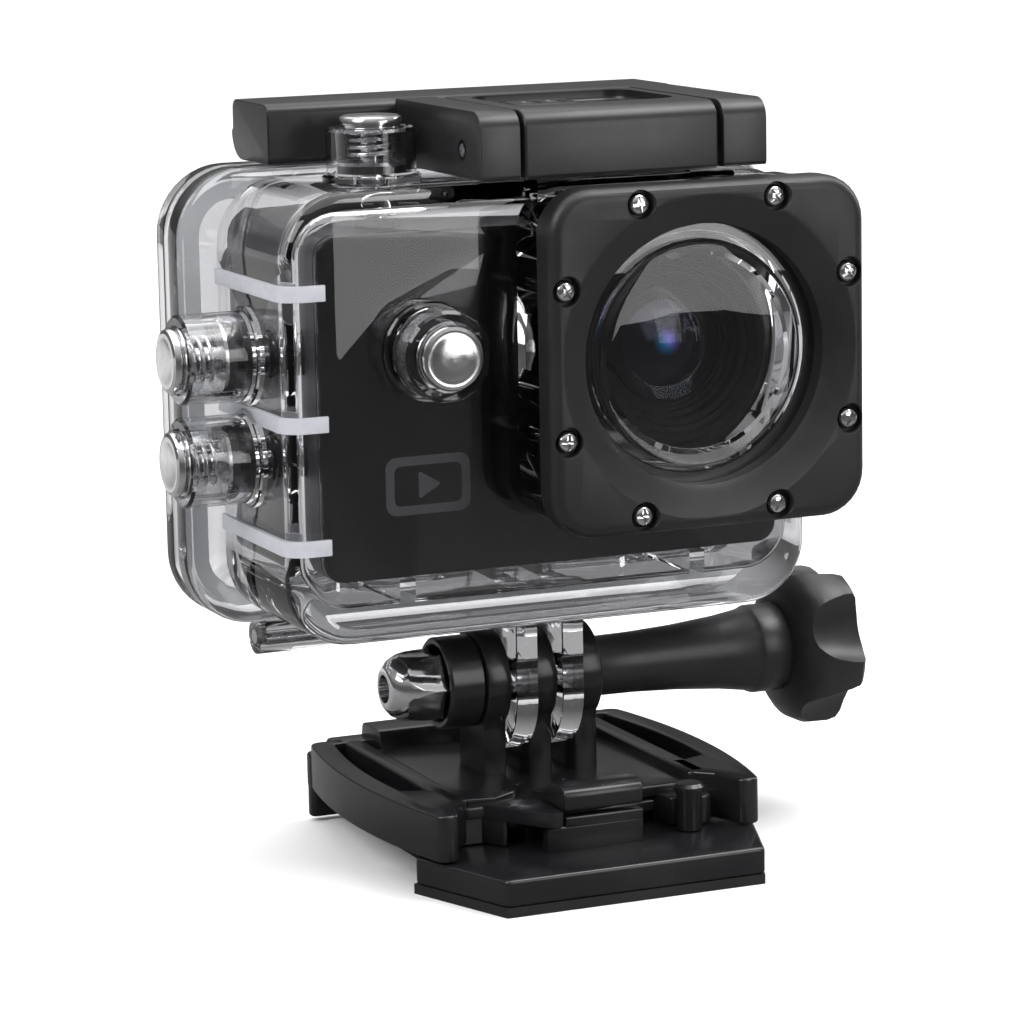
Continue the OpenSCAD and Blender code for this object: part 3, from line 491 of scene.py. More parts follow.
def make_buckle():
    low, top, floor = 4.7, 10.4, 9.2
    tip = -19.2
    outer = [(arm_edge(y), y, 0) for y in spread(tip, 23.6, 16)]
    inner = [(arm_edge(y, 3.0), y, 0) for y in spread(20.5, -5, 12)]
    outline = [(outer[0][0], outer[0][1], 1.3), *outer[1:-1], (outer[-1][0], outer[-1][1], 1.5),
               (17.0, 23.6, 0.3), (17.0, 21.6, 0.3), (19.0, 21.4, 1.0), *inner,
               (17.2, -6.2, 0.8), (15.2, -6.2, 0.3), (15.2, -12.5, 0.3), (17.2, -14.5, 1.0), (18.6, tip, 1.0)]
    right_arm = ease(prism("arm", rounded(outline, 4), "XY", low, top), 0.55, 3, 40)
    left_arm = copy_of(right_arm, "arm_left", Matrix.Diagonal((-1, 1, 1, 1)))
    alone(left_arm)
    bpy.ops.object.mode_set(mode="EDIT")
    bpy.ops.mesh.select_all(action="SELECT")
    bpy.ops.mesh.normals_make_consistent(inside=False)
    bpy.ops.object.mode_set(mode="OBJECT")
    parts = [right_arm, left_arm]
    # walls of the tray, its floor and the lips under the rail's head
    for s in (-1, 1):
        xs = sorted((s * 14.6, s * 17.2))
        parts.append(ease(prism("tray_wall", rect(xs[0], -12.5, xs[1], 22.5, 0.8), "XY", low, top), 0.45))
        xs = sorted((s * 10.1, s * 16.0))
        parts.append(block("lip", (xs[0], -12.2, low), (xs[1], 20, 7.7)))
    parts.append(ease(prism("floor", rect(-15.2, -12.5, 15.2, 23, 0.8), "XY", 7.7, floor), 0.3))
    # raised ground on the left with its swept edge, and the low wedge behind the fingers
    swept = rounded([(-14.8, 18, 0.3), (-14.8, -11.0, 0.6), (-10.6, -11.6, 0.6), (-6.6, -9.2, 3), (-4.6, 1, 6),
                     (-3.6, 10, 4), (-3.6, 18, 0.5)], 6)
    parts.append(ease(prism("raised_ground", swept, "XY", floor - 0.4, floor + 0.75), 0.5))
    # plate beside the tongue
    side = rounded([(-15, -11.6, 0.4), (-13.2, -11.6, 0.8), (-7.4, -20.6, 0.8), (-5.6, -20.6, 0.5),
                    (-5.6, -11, 0.4)], 5)
    parts.append(ease(prism("front_plate", side, "XY", 7.72, floor + 0.2), 0.35))
    outer_side = rounded([(-15, -11.6, 0.4), (-13.2, -11.6, 0.8), (-10.4, -15.6, 0.4), (-10.4, -11, 0.3)], 4)
    parts.append(ease(prism("front_plate_foot", outer_side, "XY", low, floor), 0.25))
    # rear wall and the block on it
    parts.append(ease(prism("rear_wall", rect(-18.6, 21.6, 18.6, 25.6, 1.0), "XY", low, top), 0.5))
    parts.append(ease(prism("rear_foot", rect(-21.2, 23.2, 21.2, 25.8, 1.0), "XY", low - 0.3, 8.9), 0.4))
    parts.append(ease(prism("rear_stop", rect(-21.1, 23.6, 21.1, 25.7, 0.8), "XY", 0.6, low + 0.6), 0.3))
    wedge = rounded([(17.2, floor - 0.3, 0.1), (18.4, 12.2, 0.9), (24.4, 12.2, 1.0), (24.9, floor - 0.3, 0.1)], 5)
    parts.append(ease(prism("rear_block", wedge, "YZ", -13.8, 13.8), 0.5))
    # tongue with its rolled front edge
    roll = rounded([(-19.65, 9.2, 0.5), (-19.7, 11.4, 1.2), (-18.4, 12.2, 1.1), (-15.6, 12.0, 2.0),
                    (-12.8, 10.3, 2.0),
                    (-9.6, 9.9, 0.5), (-9.6, 8.8, 0.2), (-16.0, 8.8, 0.2)], 6)
    parts.append(ease(prism("tongue", roll, "YZ", -5.1, 5.1), 0.35))
    # post and the ground round it
    post = lathe("post", [(0, low), (1.55, low), (1.55, 9.0), (1.85, 9.5), (1.9, 10.0), (1.5, 10.38), (0, 10.4)],
                 "Z", (12.3, -17.4, 0), 40)
    ground = rounded([(10.4, -12, 0.2), (10.8, -15.2, 0.8), (16.0, -16.4, 1.2), (16.8, -12, 0.3)], 5)
    parts += [post, ease(prism("post_ground", ground, "XY", low, 8.1), 0.4)]
    # three fingers and the boss of the cap nut
    neck, waist = 3.95, 15.6
    profile = rounded([*arc(finger, 6.15, -48, 229, 6), (screw_y - neck, waist, 1.5),
                       (screw_y - neck, floor - 0.2, 0.2), (screw_y + neck, floor - 0.2, 0.2),
                       (screw_y + neck, waist, 1.5)], 4)
    for x in (-7.6, -1.5, 4.6):
        parts.append(ease(prism("finger", profile, "YZ", x, x + 3.0), 0.3, 3, 60))
    boss = lathe("boss", [(0, -8), (5.7, -8), (5.7, -12.0), (5.4, -12.3), (4.95, -12.3), (4.75, -12.1),
                          (4.75, -10.4), (0, -10.4)], "X", screw_axis)
    parts.append(boss)
    piece = gather("buckle", *parts)
    place(piece, "buckle_body", mount_black, ["buckle"], 40)


def make_tilt_screw():
    end, start = -19.0, -9.5
    # the cap nut: a hexagon, rounded towards its end
    hexagon = [(y, z) for y, z, _ in arc(finger, 4.62, 0, 360, 60)]
    nut = prism("cap_nut", hexagon, "YZ", end, start)
    dome = lathe("nut_dome", [(0, start), (4.5, start), (4.6, start - 0.4), (4.6, -13.8), (4.45, -15.4),
                              (4.1, -17.0), (3.5, -18.1), (2.7, -18.8), (2.2, end), (0, end)],
                 "X", screw_axis, 96)
    shape(nut, "INTERSECT", dome)
    cut(nut, rod("nut_hole", "X", screw_axis, 1.75, -20, -12, 0, 32))
    ease(nut, 0.28, 3, 25)
    place(nut, "buckle_body", chrome, ["cap_nut"], 40)
    finish_node("thumb_bolt", steel)
    # flared neck and collar
    neck = lathe("neck", [(0, 7.7), (3.7, 7.7), (3.95, 7.95), (3.95, 8.6), (3.75, 9.2), (3.8, 14), (4.1, 20),
                          (4.65, 26),
                          (5.2, 29.6), (5.45, 30.2), (5.58, 30.5), (5.6, 34.0), (5.2, 34.6), (0, 34.6)], "X",
                          screw_axis, 96)
    # five-lobed grip: a crowned disc with five bays that deepen towards its end
    grip = lathe("grip", [(0, 34.2), (5.5, 34.2), (7.4, 34.6), (9.3, 35.9), (10.1, 37.6), (10.18, 40.6), (9.9, 41.9),
                          (9.1, 42.6), (7.5, 42.9), (0, 42.9)], "X", screw_axis, 96)
    for k in range(5):
        bay = lathe("bay", [(0, -3), (3.0, -3), (4.4, 0), (5.7, 4), (6.6, 8), (7.0, 12), (0, 12)], "X", (0, 0, 0), 64)
        turn = math.radians(15.6 + 72 * k)
        bay.matrix_world = Matrix.Translation(Vector((34.5, screw_y + 13.6 * math.cos(turn),
                                                      screw_z + 13.6 * math.sin(turn))) * MM)
        cut(grip, settle(bay))
    ease(grip, 0.5, 4, 32)
    piece = gather("thumb_knob", neck, grip)
    place(piece, "thumb_screw", knob_black, ["thumb_knob"], 40)


# ---------------------------------------------------------------- clear case
BUTTONS = {
    "shutter": {"foot": (-18.7, 3.5, 83.4), "turn": Matrix.Identity(4), "height": 6.3},
    "power": {"foot": (-17.3, -10.0, 64.3), "turn": Matrix.Rotation(math.pi / 2, 4, "X"), "height": 6.4},
    "up": {"foot": (-35.2, 3.0, 63.5), "turn": Matrix.Rotation(-math.pi / 2, 4, "Y"), "height": 9.0},
    "down": {"foot": (-35.2, 3.0, 51.2), "turn": Matrix.Rotation(-math.pi / 2, 4, "Y"), "height": 9.0},
}
# the two coordinates across each button, for its turning marks
ACROSS = {"shutter": (0, 1), "power": (0, 2), "up": (1, 2), "down": (1, 2)}


def button_matrix(name):
    """Turns up into the direction a button points and moves the origin to its tube's foot."""
    return Matrix.Translation(Vector(BUTTONS[name]["foot"]) * MM) @ BUTTONS[name]["turn"]


def at_button(piece, name):
    """Carries a piece modelled upright at the origin to its button."""
    piece.matrix_world = button_matrix(name) @ piece.matrix_world
    return settle(piece)


def knuckle(web, low, high):
    """One bored knuckle of the door's hinge."""
    return cut(ease(prism("knuckle", web, "YZ", low, high), 0.2, 2, 60),
               rod("pin_hole", "X", (0, *hinge), DOOR_PIN_HOLE, low - 1, high + 1, 0, 24))


def make_shell():
    outer = ease(prism("case_shell", rect(shell["left"], shell["bottom"], shell["right"], shell["top"], 8, 10), "XZ",
                       shell["front"], shell["rear"] - 0.1), 2.6, 5, 60)
    rim = ease(prism("rim", rect(door["left"], door["bottom"], door["right"], door["top"], 8.5, 10), "XZ", 13.2,
                     shell["rear"]), 0.8, 3, 60)
    lens_block = ease(prism("lens_block", rect(lens_x - 20, lens_z - 20, lens_x + 20, lens_z + 20, 5, 8), "XZ",
                            plate_back, -7.9), 0.4, 2, 60)
    catch = prism("catch", [(-9.4, 81.4), (-13.4, 81.4), (-13.4, 83.75), (-12.2, 84.35), (-10.8, 85.05),
                            (-9.4, 85.05)], "YZ", -4.5, 15.5)
    weld(outer, rim, lens_block, catch)
    reach = 7.4
    tongue = rounded([*arc((screw_y, screw_z - 1.5), reach, 180, 361, 6),
                      (screw_y + reach, shell["bottom"] + 1, 0), (screw_y - reach, shell["bottom"] + 1, 0)])
    for x in (1.6, -4.5):
        weld(outer, cut(ease(prism("prong", tongue, "YZ", x, x + 2.9), 0.25, 2, 60),
                        rod("prong_hole", "X", screw_axis, 2.56, x - 1, x + 4)))
    web = rounded([*arc(hinge, KNUCKLE_RADIUS, -180, 41, 10), (shell["rear"], hinge_z + 2.2, 0),
                   (shell["rear"], door["bottom"] + 1, 0), (14.3, door["bottom"] + 1, 0), (14.3, hinge_z - 0.5, 0.4)])
    for low, high in SHELL_KNUCKLES:
        weld(outer, knuckle(web, low, high))
    for name, b in BUTTONS.items():
        h = b["height"]
        tube = lathe("tube", [(0, -1), (5.95, -1), (5.95, 0.55), (5.7, 0.8), (5.4, 0.85), (5.4, h - 0.35), (5.05, h),
                              (0, h)], "Z", (0, 0, 0), 64)
        weld(outer, at_button(tube, name))
    # hollow inside, open at the back
    hollow = ease(prism("hollow", rect(-32.7, 34.0, 30.3, 80.9, 5.5, 8), "XZ", -7.5, 30), 0.9, 3, 60)
    for x in (-20, 18):
        cut(hollow, block("rail", (x - 1, -20, 30), (x + 1, 14, camera_low.z - 0.15)))
    cut(outer, hollow)
    cut(outer, rod("lens_bore", "Y", lens_axis, 14.4, -30, 0, 0, 96),
        rod("window_seat", "Y", lens_axis, 16.85, -30, -15.8, 0, 96))
    for name, b in BUTTONS.items():
        h = b["height"]
        cut(outer, at_button(rod("bore", "Z", (0, 0, 0), 4.2, 1.0, h + 2, 0, 64), name),
            at_button(rod("stem_hole", "Z", (0, 0, 0), 1.56, -8, 4, 0, 32), name))
    cut(outer, at_button(rod("clip_room", "Z", (0, 0, 0), 3.1, -3.5, -1.0, 0, 48), "power"))
    for low, high in DOOR_KNUCKLES:
        cut(outer, block("knuckle_gap", (low - 0.3, 16.2, 20), (high + 0.3, 24, door["bottom"] - 0.01)))
    for _, _, here in plate_screw_places():
        hole = rod("screw_hole", "Y", (0, 0, 0), 0.82, -30, -11.9, 0, 20)
        hole.matrix_world = here
        cut(outer, settle(hole))
    place(outer, "case", clear_case, ["case_shell"], 30)
    # three frosted ribs that wrap the left side
    ribs = []
    for z in (42.0, 56.6, 72.0):
        band = rounded([(-35.1, 12.9, 0.1), (-35.72, 12.9, 0.2), (-35.72, -10.52, 3.2), (-30.2, -10.52, 0.2),
                        (-30.2, -9.9, 0.1), (-35.1, -9.9, 2.7)], 8)
        ribs.append(ease(prism("rib", band, "XY", z - 0.95, z + 0.95), 0.25, 3, 50))
    place(gather("case_ribs", *ribs), "case", frosted)


def make_door():
    slab = ease(prism("case_door", rect(door["left"], door["bottom"], door["right"], door["top"], 8.5, 10), "XZ",
                      door["front"], door["rear"]), 0.8, 4, 60)
    lug = rounded([*arc(latch_pivot, 2.35, -30, 211, 10), (17.85, 83.5, 0), (21.4, 83.5, 0)])
    for low, high in LATCH_LUGS:
        weld(slab, cut(ease(prism("lug", lug, "YZ", low, high), 0.2, 2, 50),
                       rod("lug_hole", "X", (0, *latch_pivot), 1.05, low - 1, high + 1, 0, 24)))
    inner = door["front"] + 0.05
    web = rounded([*arc(hinge, KNUCKLE_RADIUS, 180, 361, 10), (hinge_y + KNUCKLE_RADIUS, door["bottom"] + 1, 0),
                   (inner, door["bottom"] + 1, 0), (inner, hinge_z + 0.5, 0.1)])
    for low, high in DOOR_KNUCKLES:
        weld(slab, knuckle(web, low, high))

    def inset(d):
        return rect(door["left"] + d, door["bottom"] + d, door["right"] - d, door["top"] - d, max(8.5 - d, 1), 8)

    groove = prism("groove", inset(1.8), "XZ", door["front"] - 1, door["front"] + 1.4)
    cut(groove, prism("groove_core", inset(4.0), "XZ", door["front"] - 2, door["front"] + 2))
    cut(slab, groove, ease(prism("pocket", rect(-26.65, 39.7, 25.35, 75.7, 3), "XZ", door["front"] + 2, 30), 0.5, 2,
                           60))
    place(slab, "door", clear_case, ["case_door"], 30)
    finish_node("door_seal", silicone)
    finish_node("door_hinge_pin", steel)


# ---------------------------------------------------------------- lens plate and window
def make_lens_plate():
    half = (plate_high.x - plate_low.x) / 2
    f = plate_front
    slab = prism("lens_plate", rect(lens_x - half, lens_z - half, lens_x + half, lens_z + half, 5.5, 8), "XZ", f,
                 plate_back)
    alone(slab)
    for e in slab.data.edges:
        a, b = (slab.data.vertices[i].co.y for i in e.vertices)
        e.select = abs(a - f * MM) < 1e-6 and abs(b - f * MM) < 1e-6
    for v in slab.data.vertices:
        v.select = abs(v.co.y - f * MM) < 1e-6
    for p in slab.data.polygons:
        p.select = False
    bpy.ops.object.mode_set(mode="EDIT")
    bpy.ops.mesh.select_mode(type="EDGE")
    bpy.ops.mesh.bevel(offset=1.5 * MM, segments=5, profile=0.5, affect="EDGES")
    bpy.ops.object.mode_set(mode="OBJECT")
    dish = lathe("dish", [(0, f - 1), (19.4, f - 1), (19.4, f), (19.0, f + 0.12), (17.6, f + 0.75), (16.3, f + 1.3),
                          (15.6, f + 1.8), (15.6, f + 6), (0, f + 6)], "Y", lens_axis, 128)
    cut(slab, dish)
    screws = []
    for side, end, here in plate_screw_places():
        pocket = lathe("pocket", [(0, f - 1), (2.05, f - 1), (1.95, f - 0.1), (1.75, f + 0.25), (1.75, f + 1.5),
                                  (0.86, f + 1.5), (0.86, 0), (0, 0)], "Y", (0, 0, 0), 36)
        pocket.matrix_world = here
        cut(slab, settle(pocket))
        head = lathe("plate_screw", [(0, f + 0.25), (0.6, f + 0.27), (1.0, f + 0.42), (1.28, f + 0.75),
                                     (1.35, f + 1.1),
                                     (1.35, f + 1.5), (0.8, f + 1.5), (0.8, -12.1), (0, -12.1)], "Y", (0, 0, 0), 36)
        for w, h in ((0.95, 0.17), (0.17, 0.95)):
            cut(head, block("cross", (-w, f, -h), (w, f + 0.85, h)))
        head.matrix_world = here @ Matrix.Rotation(0.4 + side * 1.1 + end * 0.5, 4, "Y")
        screws.append(settle(head))
    place(slab, "case", plate_black, ["lens_plate"], 30)
    place(gather("plate_screws", *screws), "case", chrome, ["lens_plate_screws"], 40)
    # flat window with a bright ground edge
    w = plate_back
    window = lathe("lens_window", [(0, w - 0.74), (6, w - 0.7), (11, w - 0.56), (12.9, w - 0.42), (13.5, w - 0.1),
                                   (13.6, w + 0.05), (16.8, w + 0.05), (16.8, -16.25), (12.2, -16.25),
                                   (11.6, -16.6), (0, -16.6)], "Y", lens_axis, 128)
    place(window, "case", window_glass, ["lens_window"], 30)
    finish_node("window_seal", rubber_black)


# ---------------------------------------------------------------- buttons
def make_spring(name):
    """Return spring between a tube's floor and the cap."""
    matrix = button_matrix(name)
    to_tube = matrix.inverted()
    heights = [(to_tube @ Vector(corner)).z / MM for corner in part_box(name + "_spring")]
    low, high = min(heights), max(heights)
    wire, coil, turns, sides, room = 0.29, 2.6, 3, 8, 0.31
    bpy.ops.object.select_all(action="DESELECT")
    bpy.ops.mesh.primitive_circle_add(vertices=sides, radius=wire * MM, fill_type="NOTHING")
    spring = bpy.context.object
    spring.name = name + "_coil"
    for k, v in enumerate(spring.data.vertices):
        a = FULL_TURN * k / sides
        v.co = Vector((coil + wire * math.cos(a), 0, low + room + wire * math.sin(a))) * MM
    rise = (high - low - 2 * room) / turns * MM
    use_modifier(spring, "SCREW", axis="Z", angle=FULL_TURN, iterations=turns, screw_offset=rise, steps=20,
                 render_steps=20)
    bpy.ops.object.mode_set(mode="EDIT")
    bpy.ops.mesh.select_all(action="SELECT")
    bpy.ops.mesh.remove_doubles(threshold=1e-6)
    bpy.ops.mesh.fill_holes(sides=0)
    bpy.ops.mesh.select_all(action="SELECT")
    bpy.ops.mesh.normals_make_consistent(inside=False)
    bpy.ops.object.mode_set(mode="OBJECT")
    place(at_button(spring, name), "case", steel, [name + "_spring"], 50)
    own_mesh(spring)


def make_buttons():
    for name, b in BUTTONS.items():
        h = b["height"]
        low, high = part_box(name + "_plunger")
        reach = max(high - low) / MM - h - 1.6
        centre = [(i, b["foot"][i]) for i in ACROSS[name]]
        turned = metal("turned_" + name, (0.8, 0.8, 0.81), (0.7, 0.7, 0.71), 0.1, 0.2, centre)
        cap = lathe(name + "_cap", [(0, -reach), (1.35, -reach), (1.5, 0.15 - reach), (1.5, h - 0.6), (3.6, h - 0.6),
                                    (3.85, h - 0.4), (3.85, h + 0.05),
                                        (3.62, h + 0.15), (3.62, h + 0.4), (3.85, h + 0.5), (3.85, h + 0.95),
                                        (3.7, h + 1.25), (3.3, h + 1.42),
                                        (2.9, h + 1.36), (2.6, h + 1.45), (1.4, h + 1.56), (0, h + 1.6)], "Z",
                                        (0, 0, 0), 72)
        place(at_button(cap, name), name + "_button", turned, [name + "_plunger"], 30)
        finish_node(name + "_clip", steel)
        finish_node(name + "_key", body_grey)
        make_spring(name)
    finish_node("button_washers", steel)
    finish_node("button_seals", rubber_black)


# ---------------------------------------------------------------- latch
def make_latch():
    left, right = latch_low.x, latch_high.x
    f, top = latch_low.y, latch_high.z
    bar_side = rounded([*arc(latch_pivot, 3.4, -90, 1, 10), (22.5, 88.9, 0.2), (22.5, top, 1.2), (10.0, top, 1.4),
                        (10.0, 85.2, 0.8)], 6)
    bar = ease(prism("bar", bar_side, "YZ", left, right), 1.1, 5, 50)
    for low, high in LATCH_LUGS:
        cut(bar, block("lug_slot", (low - 0.3, 16.7, 80), (high + 0.3, 30, 91.2)))
    cheek_side = rounded([(10.6, 85.6, 0.3), (10.6, top - 0.05, 0.1), (f, top, 2.4), (f, 84.4, 0.5), (4, 84.4, 1.0),
                          (9, 85.2, 0.5)], 7)
    cheeks = [ease(prism("cheek", cheek_side, "YZ", a, b), 0.75, 4, 50) for a,
              b in ((-12.6, -7.6), (18.6, right - 0.1))]
    # dark eye round the end of the lever's pin
    cut(cheeks[0], rod("pin_eye", "X", lever_pin, 1.25, -13.5, -12.1, 0, 32),
        rod("pin_bore", "X", lever_pin, 0.85, -14, -7, 0, 24))
    piece = gather("latch_frame", bar, *cheeks)
    place(piece, "latch", latch_black, ["latch_frame"], 35)
    finish_node("latch_hinge_pin", steel)
    finish_node("latch_lever_pin", steel)
    # the lever: a bent plate with a finger dish
    side = rounded([(9.3, top - 2.6, 0.5), (9.3, top, 0.8), (f, top, 2.4), (f, 84.3, 0.5), (f + 2.2, 84.3, 0.4),
                    (f + 2.2, top - 3.2, 1.0), (f + 3.2, top - 2.6, 0.3)], 7)
    lever = ease(prism("latch_lever", side, "YZ", lever_low.x, lever_high.x), 0.6, 4, 50)
    middle = (lever_low.x + lever_high.x) / 2
    dish = ease(prism("dish", rect(middle - 10.6, -9.6, middle + 10.6, 7.0, 3), "XY", top - 1.3, top + 2), 0.5, 3, 60)
    cut(lever, dish, prism("slot", rect(-0.9, -3.1, 7.1, 0.1, 1.2), "XY", 80, 100))
    hook = prism("hook", [(f + 2.0, 84.5), (f + 3.6, 84.5), (f + 3.6, 85.3), (f + 2.0, 86.4)], "YZ", -4, 15)
    ends = (lever_low.x, lever_high.x - 3)
    eyes = [rod("eye", "X", lever_pin, 1.85, x, x + 3, 0.2, 40) for x in ends]
    webs = [block("eye_web", (x + 0.1, -11.9, lever_pin[2]), (x + 2.9, -8.3, top - 2.4)) for x in ends]
    piece = gather("latch_lever", lever, hook, *eyes, *webs)
    place(piece, "lever", latch_black, ["latch_lever"], 35)
    # sliding lock: a pad with two finger hollows
    floor = top - 1.3
    pad = ease(prism("latch_lock", rect(-2.4, -5, 5.6, 2, 1.5), "XY", floor + 0.05, floor + 0.95), 0.25, 3, 50)
    for x in (0.0, 3.2):
        hollow = lathe("hollow", [(0, -0.45), (0.7, -0.36), (1.15, -0.1), (1.35, 0.4), (0, 0.4)], "Z", (0, 0, 0), 32)
        hollow.matrix_world = Matrix.Translation(Vector((x, -1.5,
                                                         floor + 0.9)) * MM) @ Matrix.Diagonal((1, 1.6, 1, 1))
        cut(pad, settle(hollow))
    neck = prism("lock_neck", rect(-0.7, -2.9, 3.9, -0.1, 1), "XY", floor - 1.5, floor + 0.1)
    foot = ease(prism("lock_foot", rect(-1.65, -4.5, 4.85, 1.5, 1), "XY", floor - 2.1, floor - 1.4), 0.2)
    place(gather("latch_lock", pad, neck, foot), "lock", latch_black, ["latch_lock"], 40)


# ---------------------------------------------------------------- camera
def make_camera():
    low, high = camera_low, camera_high
    panel = prism("front_panel", rect(low.x, low.z, high.x, high.z, 2.5, 8), "XZ", low.y, high.y)
    ease(panel, 0.35, 3, 60)
    cut(panel, rod("lens_hole", "Y", lens_axis, 11.9, -20, 0, 0, 96),
        rod("key_hole", "Y", (-17.3, 0, 64.3), 2.9, -20, 0, 0, 48))
    place(panel, "case", panel_black, ["camera_front_panel"])
    # printed sign: a film frame with a play mark
    y = low.y
    sign = prism("sign_frame", rect(-22.4, 44.6, -11.6, 51.6, 1.4), "XZ", y - 0.03, y + 0.05)
    cut(sign, prism("sign_hole", rect(-21.3, 45.7, -12.7, 50.5, 0.8), "XZ", y - 1, y + 1))
    play = prism("play_mark", rounded([(-18.2, 46.4, 0.2), (-15.3, 48.1, 0.2), (-18.2, 49.8, 0.2)]), "XZ", y - 0.03,
                 y + 0.05)
    place(gather("printed_sign", sign, play), "case", print_grey)
    # lens surround: stepped rings round the glass
    r = rings_front
    profile = [(6.35, r + 13), (5.0, r + 13), (5.0, r + 4.4), (7.1, r + 4.0), (7.1, r + 3.4), (7.5, r + 3.3),
               (7.5, r + 2.9), (8.0, r + 2.8), (8.0, r + 2.4), (8.6, r + 2.2),
               (8.8, r + 1.2), (9.5, r + 1.05), (9.6, r + 0.7), (10.2, r + 0.5), (10.5, r + 0.05), (10.8, r),
               (11.3, r), (11.7, r + 0.3), (11.75, r + 5.9), (6.35, r + 5.9)]
    place(lathe("lens_surround", profile, "Y", lens_axis, 128), "case", lens_black, ["lens_rings"], 30)
    glass = lathe("front_lens", [(0, r + 1.4), (2.6, r + 1.65), (4.6, r + 2.3), (6.9, r + 3.3), (6.9, r + 3.95),
                                 (5.2, r + 4.2), (4.7, r + 4.2), (2.6, r + 3.2), (0, r + 2.9)], "Y", lens_axis, 96)
    place(glass, "case", optic_glass, ["lens_glass"], 40)
    # rear lens with a painted blue and violet reflection at its middle
    inner = lathe("lens_with_painted_reflection", [(0, r + 4.5), (1.6, r + 4.58), (3.4, r + 4.85), (4.94, r + 5.3), (4.94, r + 11.8),
                                  (0, r + 12.2)], "Y", lens_axis, 96)
    place(inner, "case", lens_with_painted_reflection(), ["lens_rear_glass"], 40)
    finishes = ((body_grey, ("camera_frame", "screen_module", "battery_door")),
                (panel_black, ("camera_back_panel", "screen_glass")), (board_green, ("main_board", "sensor_board")),
                (lens_black, ("lens_holder", "speaker", "memory_card")), (wrap_blue, ("battery",)))
    for material, nodes in finishes:
        for node in nodes:
            finish_node(node, material)


def lens_with_painted_reflection():
    """Dark lens with a blue and violet reflection of its coating painted at its middle, which also glows faintly."""
    f = Finish("lens_with_painted_reflection")
    parts = f.split(f.place)
    u, v = parts[0] - (lens_x + 0.6) * MM, parts[2] - (lens_z + 0.2) * MM
    reach = (u * u + v * v) ** 0.5 * 1000.0
    # painted reflection: a spot at the middle that fades outwards, teal towards the lower left and violet towards the
    # upper right
    core = f.stretch(reach, 0.3, 2.1, 1.0, 0.0)
    tilt = f.stretch(u * 1000.0 + v * 800.0, -0.9, 0.9, 0.0, 1.0)
    painted_reflection_colour = f.blend(tilt, (0.01, 0.22, 0.4), (0.3, 0.22, 0.8))
    tone = f.blend(core * core, (0.002, 0.002, 0.004), painted_reflection_colour)
    # the painted reflection is also fed to Emission, so the lens glows though it is no lamp
    f.set(Base_Color=tone, Roughness=f.stretch(f.noise(300.0), 0.3, 0.7, 0.05, 0.09), IOR=1.4,
          Emission_Color=tone, Emission_Strength=0.5)
    return f.material


# ---------------------------------------------------------------- studio
def make_floor():
    bpy.ops.object.select_all(action="DESELECT")
    bpy.ops.mesh.primitive_plane_add(size=16, location=(0, 0, 0))
    floor = bpy.context.object
    floor.name = "studio_floor"
    f = Finish("studio_paper")
    # the paper is dim where it only shows in the gloss of the object, darkest in front of it
    depth = f.split(f.place)[1]
    card = f.stretch(depth, -0.16, 0.05, 0.04, 0.22) + f.stretch(depth, 0.15, 0.35, 0.0, 0.3)
    gloss = f.node("ShaderNodeLightPath", output="Is Glossy Ray")
    paper = 1.0 - gloss * (1.0 - card)
    tone = f.blend(f.noise(3.0), (0.9, 0.9, 0.905), (0.92, 0.92, 0.925))
    f.set(Base_Color=f.blend(paper, (0.01, 0.01, 0.01), tone), Roughness=0.9, Specular_IOR_Level=0.1)
    floor.data.materials.append(f.material)


def make_room():
    """A white room; in the gloss of the object it is dim with a bright ceiling."""
    world = bpy.data.worlds.new("studio")
    world.use_nodes = True
    sky = Nodes(world.node_tree)
    height = sky.split(sky.node("ShaderNodeTexCoord", output="Generated"))[2]
    diffuse = sky.node("ShaderNodeLightPath", output="Is Diffuse Ray")
    gloss = sky.node("ShaderNodeLightPath", output="Is Glossy Ray")
    room = sky.stretch(height, 0.15, 0.95, 0.1, 0.8)
    plain = sky.stretch(diffuse, 0.0, 1.0, 1.0, 0.55)
    seen = sky.node("ShaderNodeMix", {}, {0: gloss, 2: plain, 3: room})
    background = sky.tree.nodes["Background"]
    background.inputs["Color"].default_value = (1, 1, 1, 1)
    sky.tree.links.new(seen.socket, background.inputs["Strength"])
    bpy.context.scene.world = world


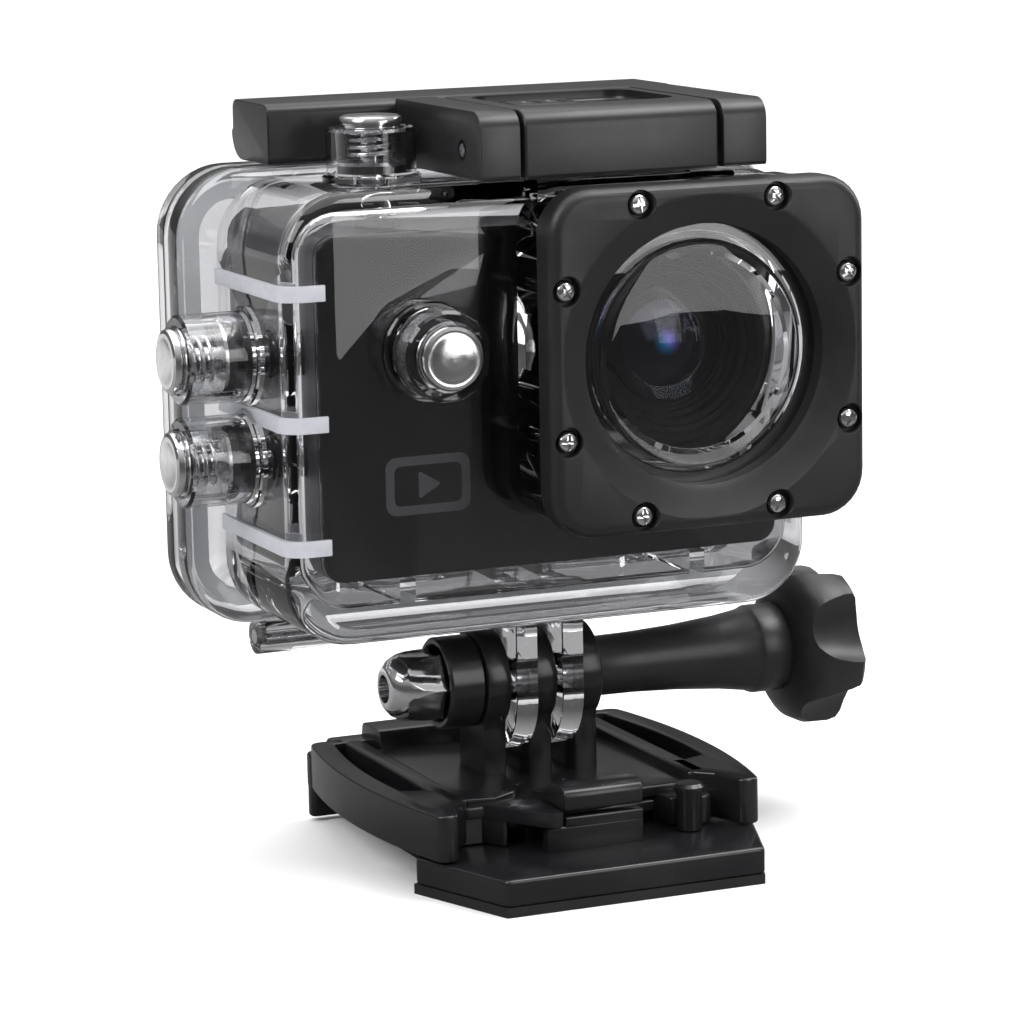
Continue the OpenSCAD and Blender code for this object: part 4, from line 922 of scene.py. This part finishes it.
def lamp(name, kind, where, towards, energy, size, size_y=None):
    """A lamp turned towards a point; size is the width of a softbox or the angle of the overhead light."""
    data = bpy.data.lights.new(name, kind)
    data.energy = energy
    if kind == "AREA":
        data.shape = "RECTANGLE"
        data.size, data.size_y = size, size_y
    else:
        data.angle = size
    lamp_object = bpy.data.objects.new(name, data)
    lamp_object.location = where
    lamp_object.rotation_euler = (towards - Vector(where)).to_track_quat("-Z", "Y").to_euler()
    bpy.context.scene.collection.objects.link(lamp_object)


def make_lamps():
    middle = Vector((0, 0, 0.055))
    window = Vector((lens_x, plate_front, lens_z)) * MM
    lamp("overhead", "SUN", (0.2, 0.4, 3), middle, 1.9, math.radians(70))
    lamp("key softbox", "AREA", (-0.75, -0.25, 0.65), middle, 5.0, 0.5, 0.5)
    lamp("right softbox", "AREA", (0.9, 0.1, 0.5), middle, 4.0, 0.3, 0.7)
    lamp("top softbox", "AREA", (0.36, -0.2, 0.8), middle, 3.6, 0.5, 0.4)
    lamp("rear strip", "AREA", (-0.1, 0.7, 0.6), middle, 0.5, 1.0, 0.25)
    lamp("window card", "AREA", (0.112, -0.25, 0.117), window, 0.19, 0.13, 0.158)


def make_view():
    """The camera, from the front left and a little above, with a long lens."""
    azimuth, elevation, roll = math.radians(23.11), math.radians(10.17), math.radians(-1.12)
    place_mm, focal, frame_width, sensor = (-196.15, -453.02, 130.56), 4103.35, 1024, 36.0
    forward = Vector((math.sin(azimuth) * math.cos(elevation), math.cos(azimuth) * math.cos(elevation),
                      -math.sin(elevation)))
    side = Vector((math.cos(azimuth), -math.sin(azimuth), 0))
    upward = side.cross(forward)
    x_axis = side * math.cos(roll) + upward * math.sin(roll)
    y_axis = -side * math.sin(roll) + upward * math.cos(roll)
    data = bpy.data.cameras.new("view")
    data.sensor_width = sensor
    data.lens = focal * sensor / frame_width
    data.clip_start, data.clip_end = 0.01, 50
    view = bpy.data.objects.new("view", data)
    turn = Matrix((x_axis, y_axis, -forward)).transposed().to_4x4()
    view.matrix_world = Matrix.Translation(Vector(place_mm) * MM) @ turn
    bpy.context.scene.collection.objects.link(view)
    bpy.context.scene.camera = view
    bpy.context.scene.view_settings.view_transform = "Standard"


make_floor()
make_room()
make_lamps()
make_view()
make_base()
make_buckle()
make_tilt_screw()
make_shell()
make_door()
make_lens_plate()
make_buttons()
make_latch()
make_camera()
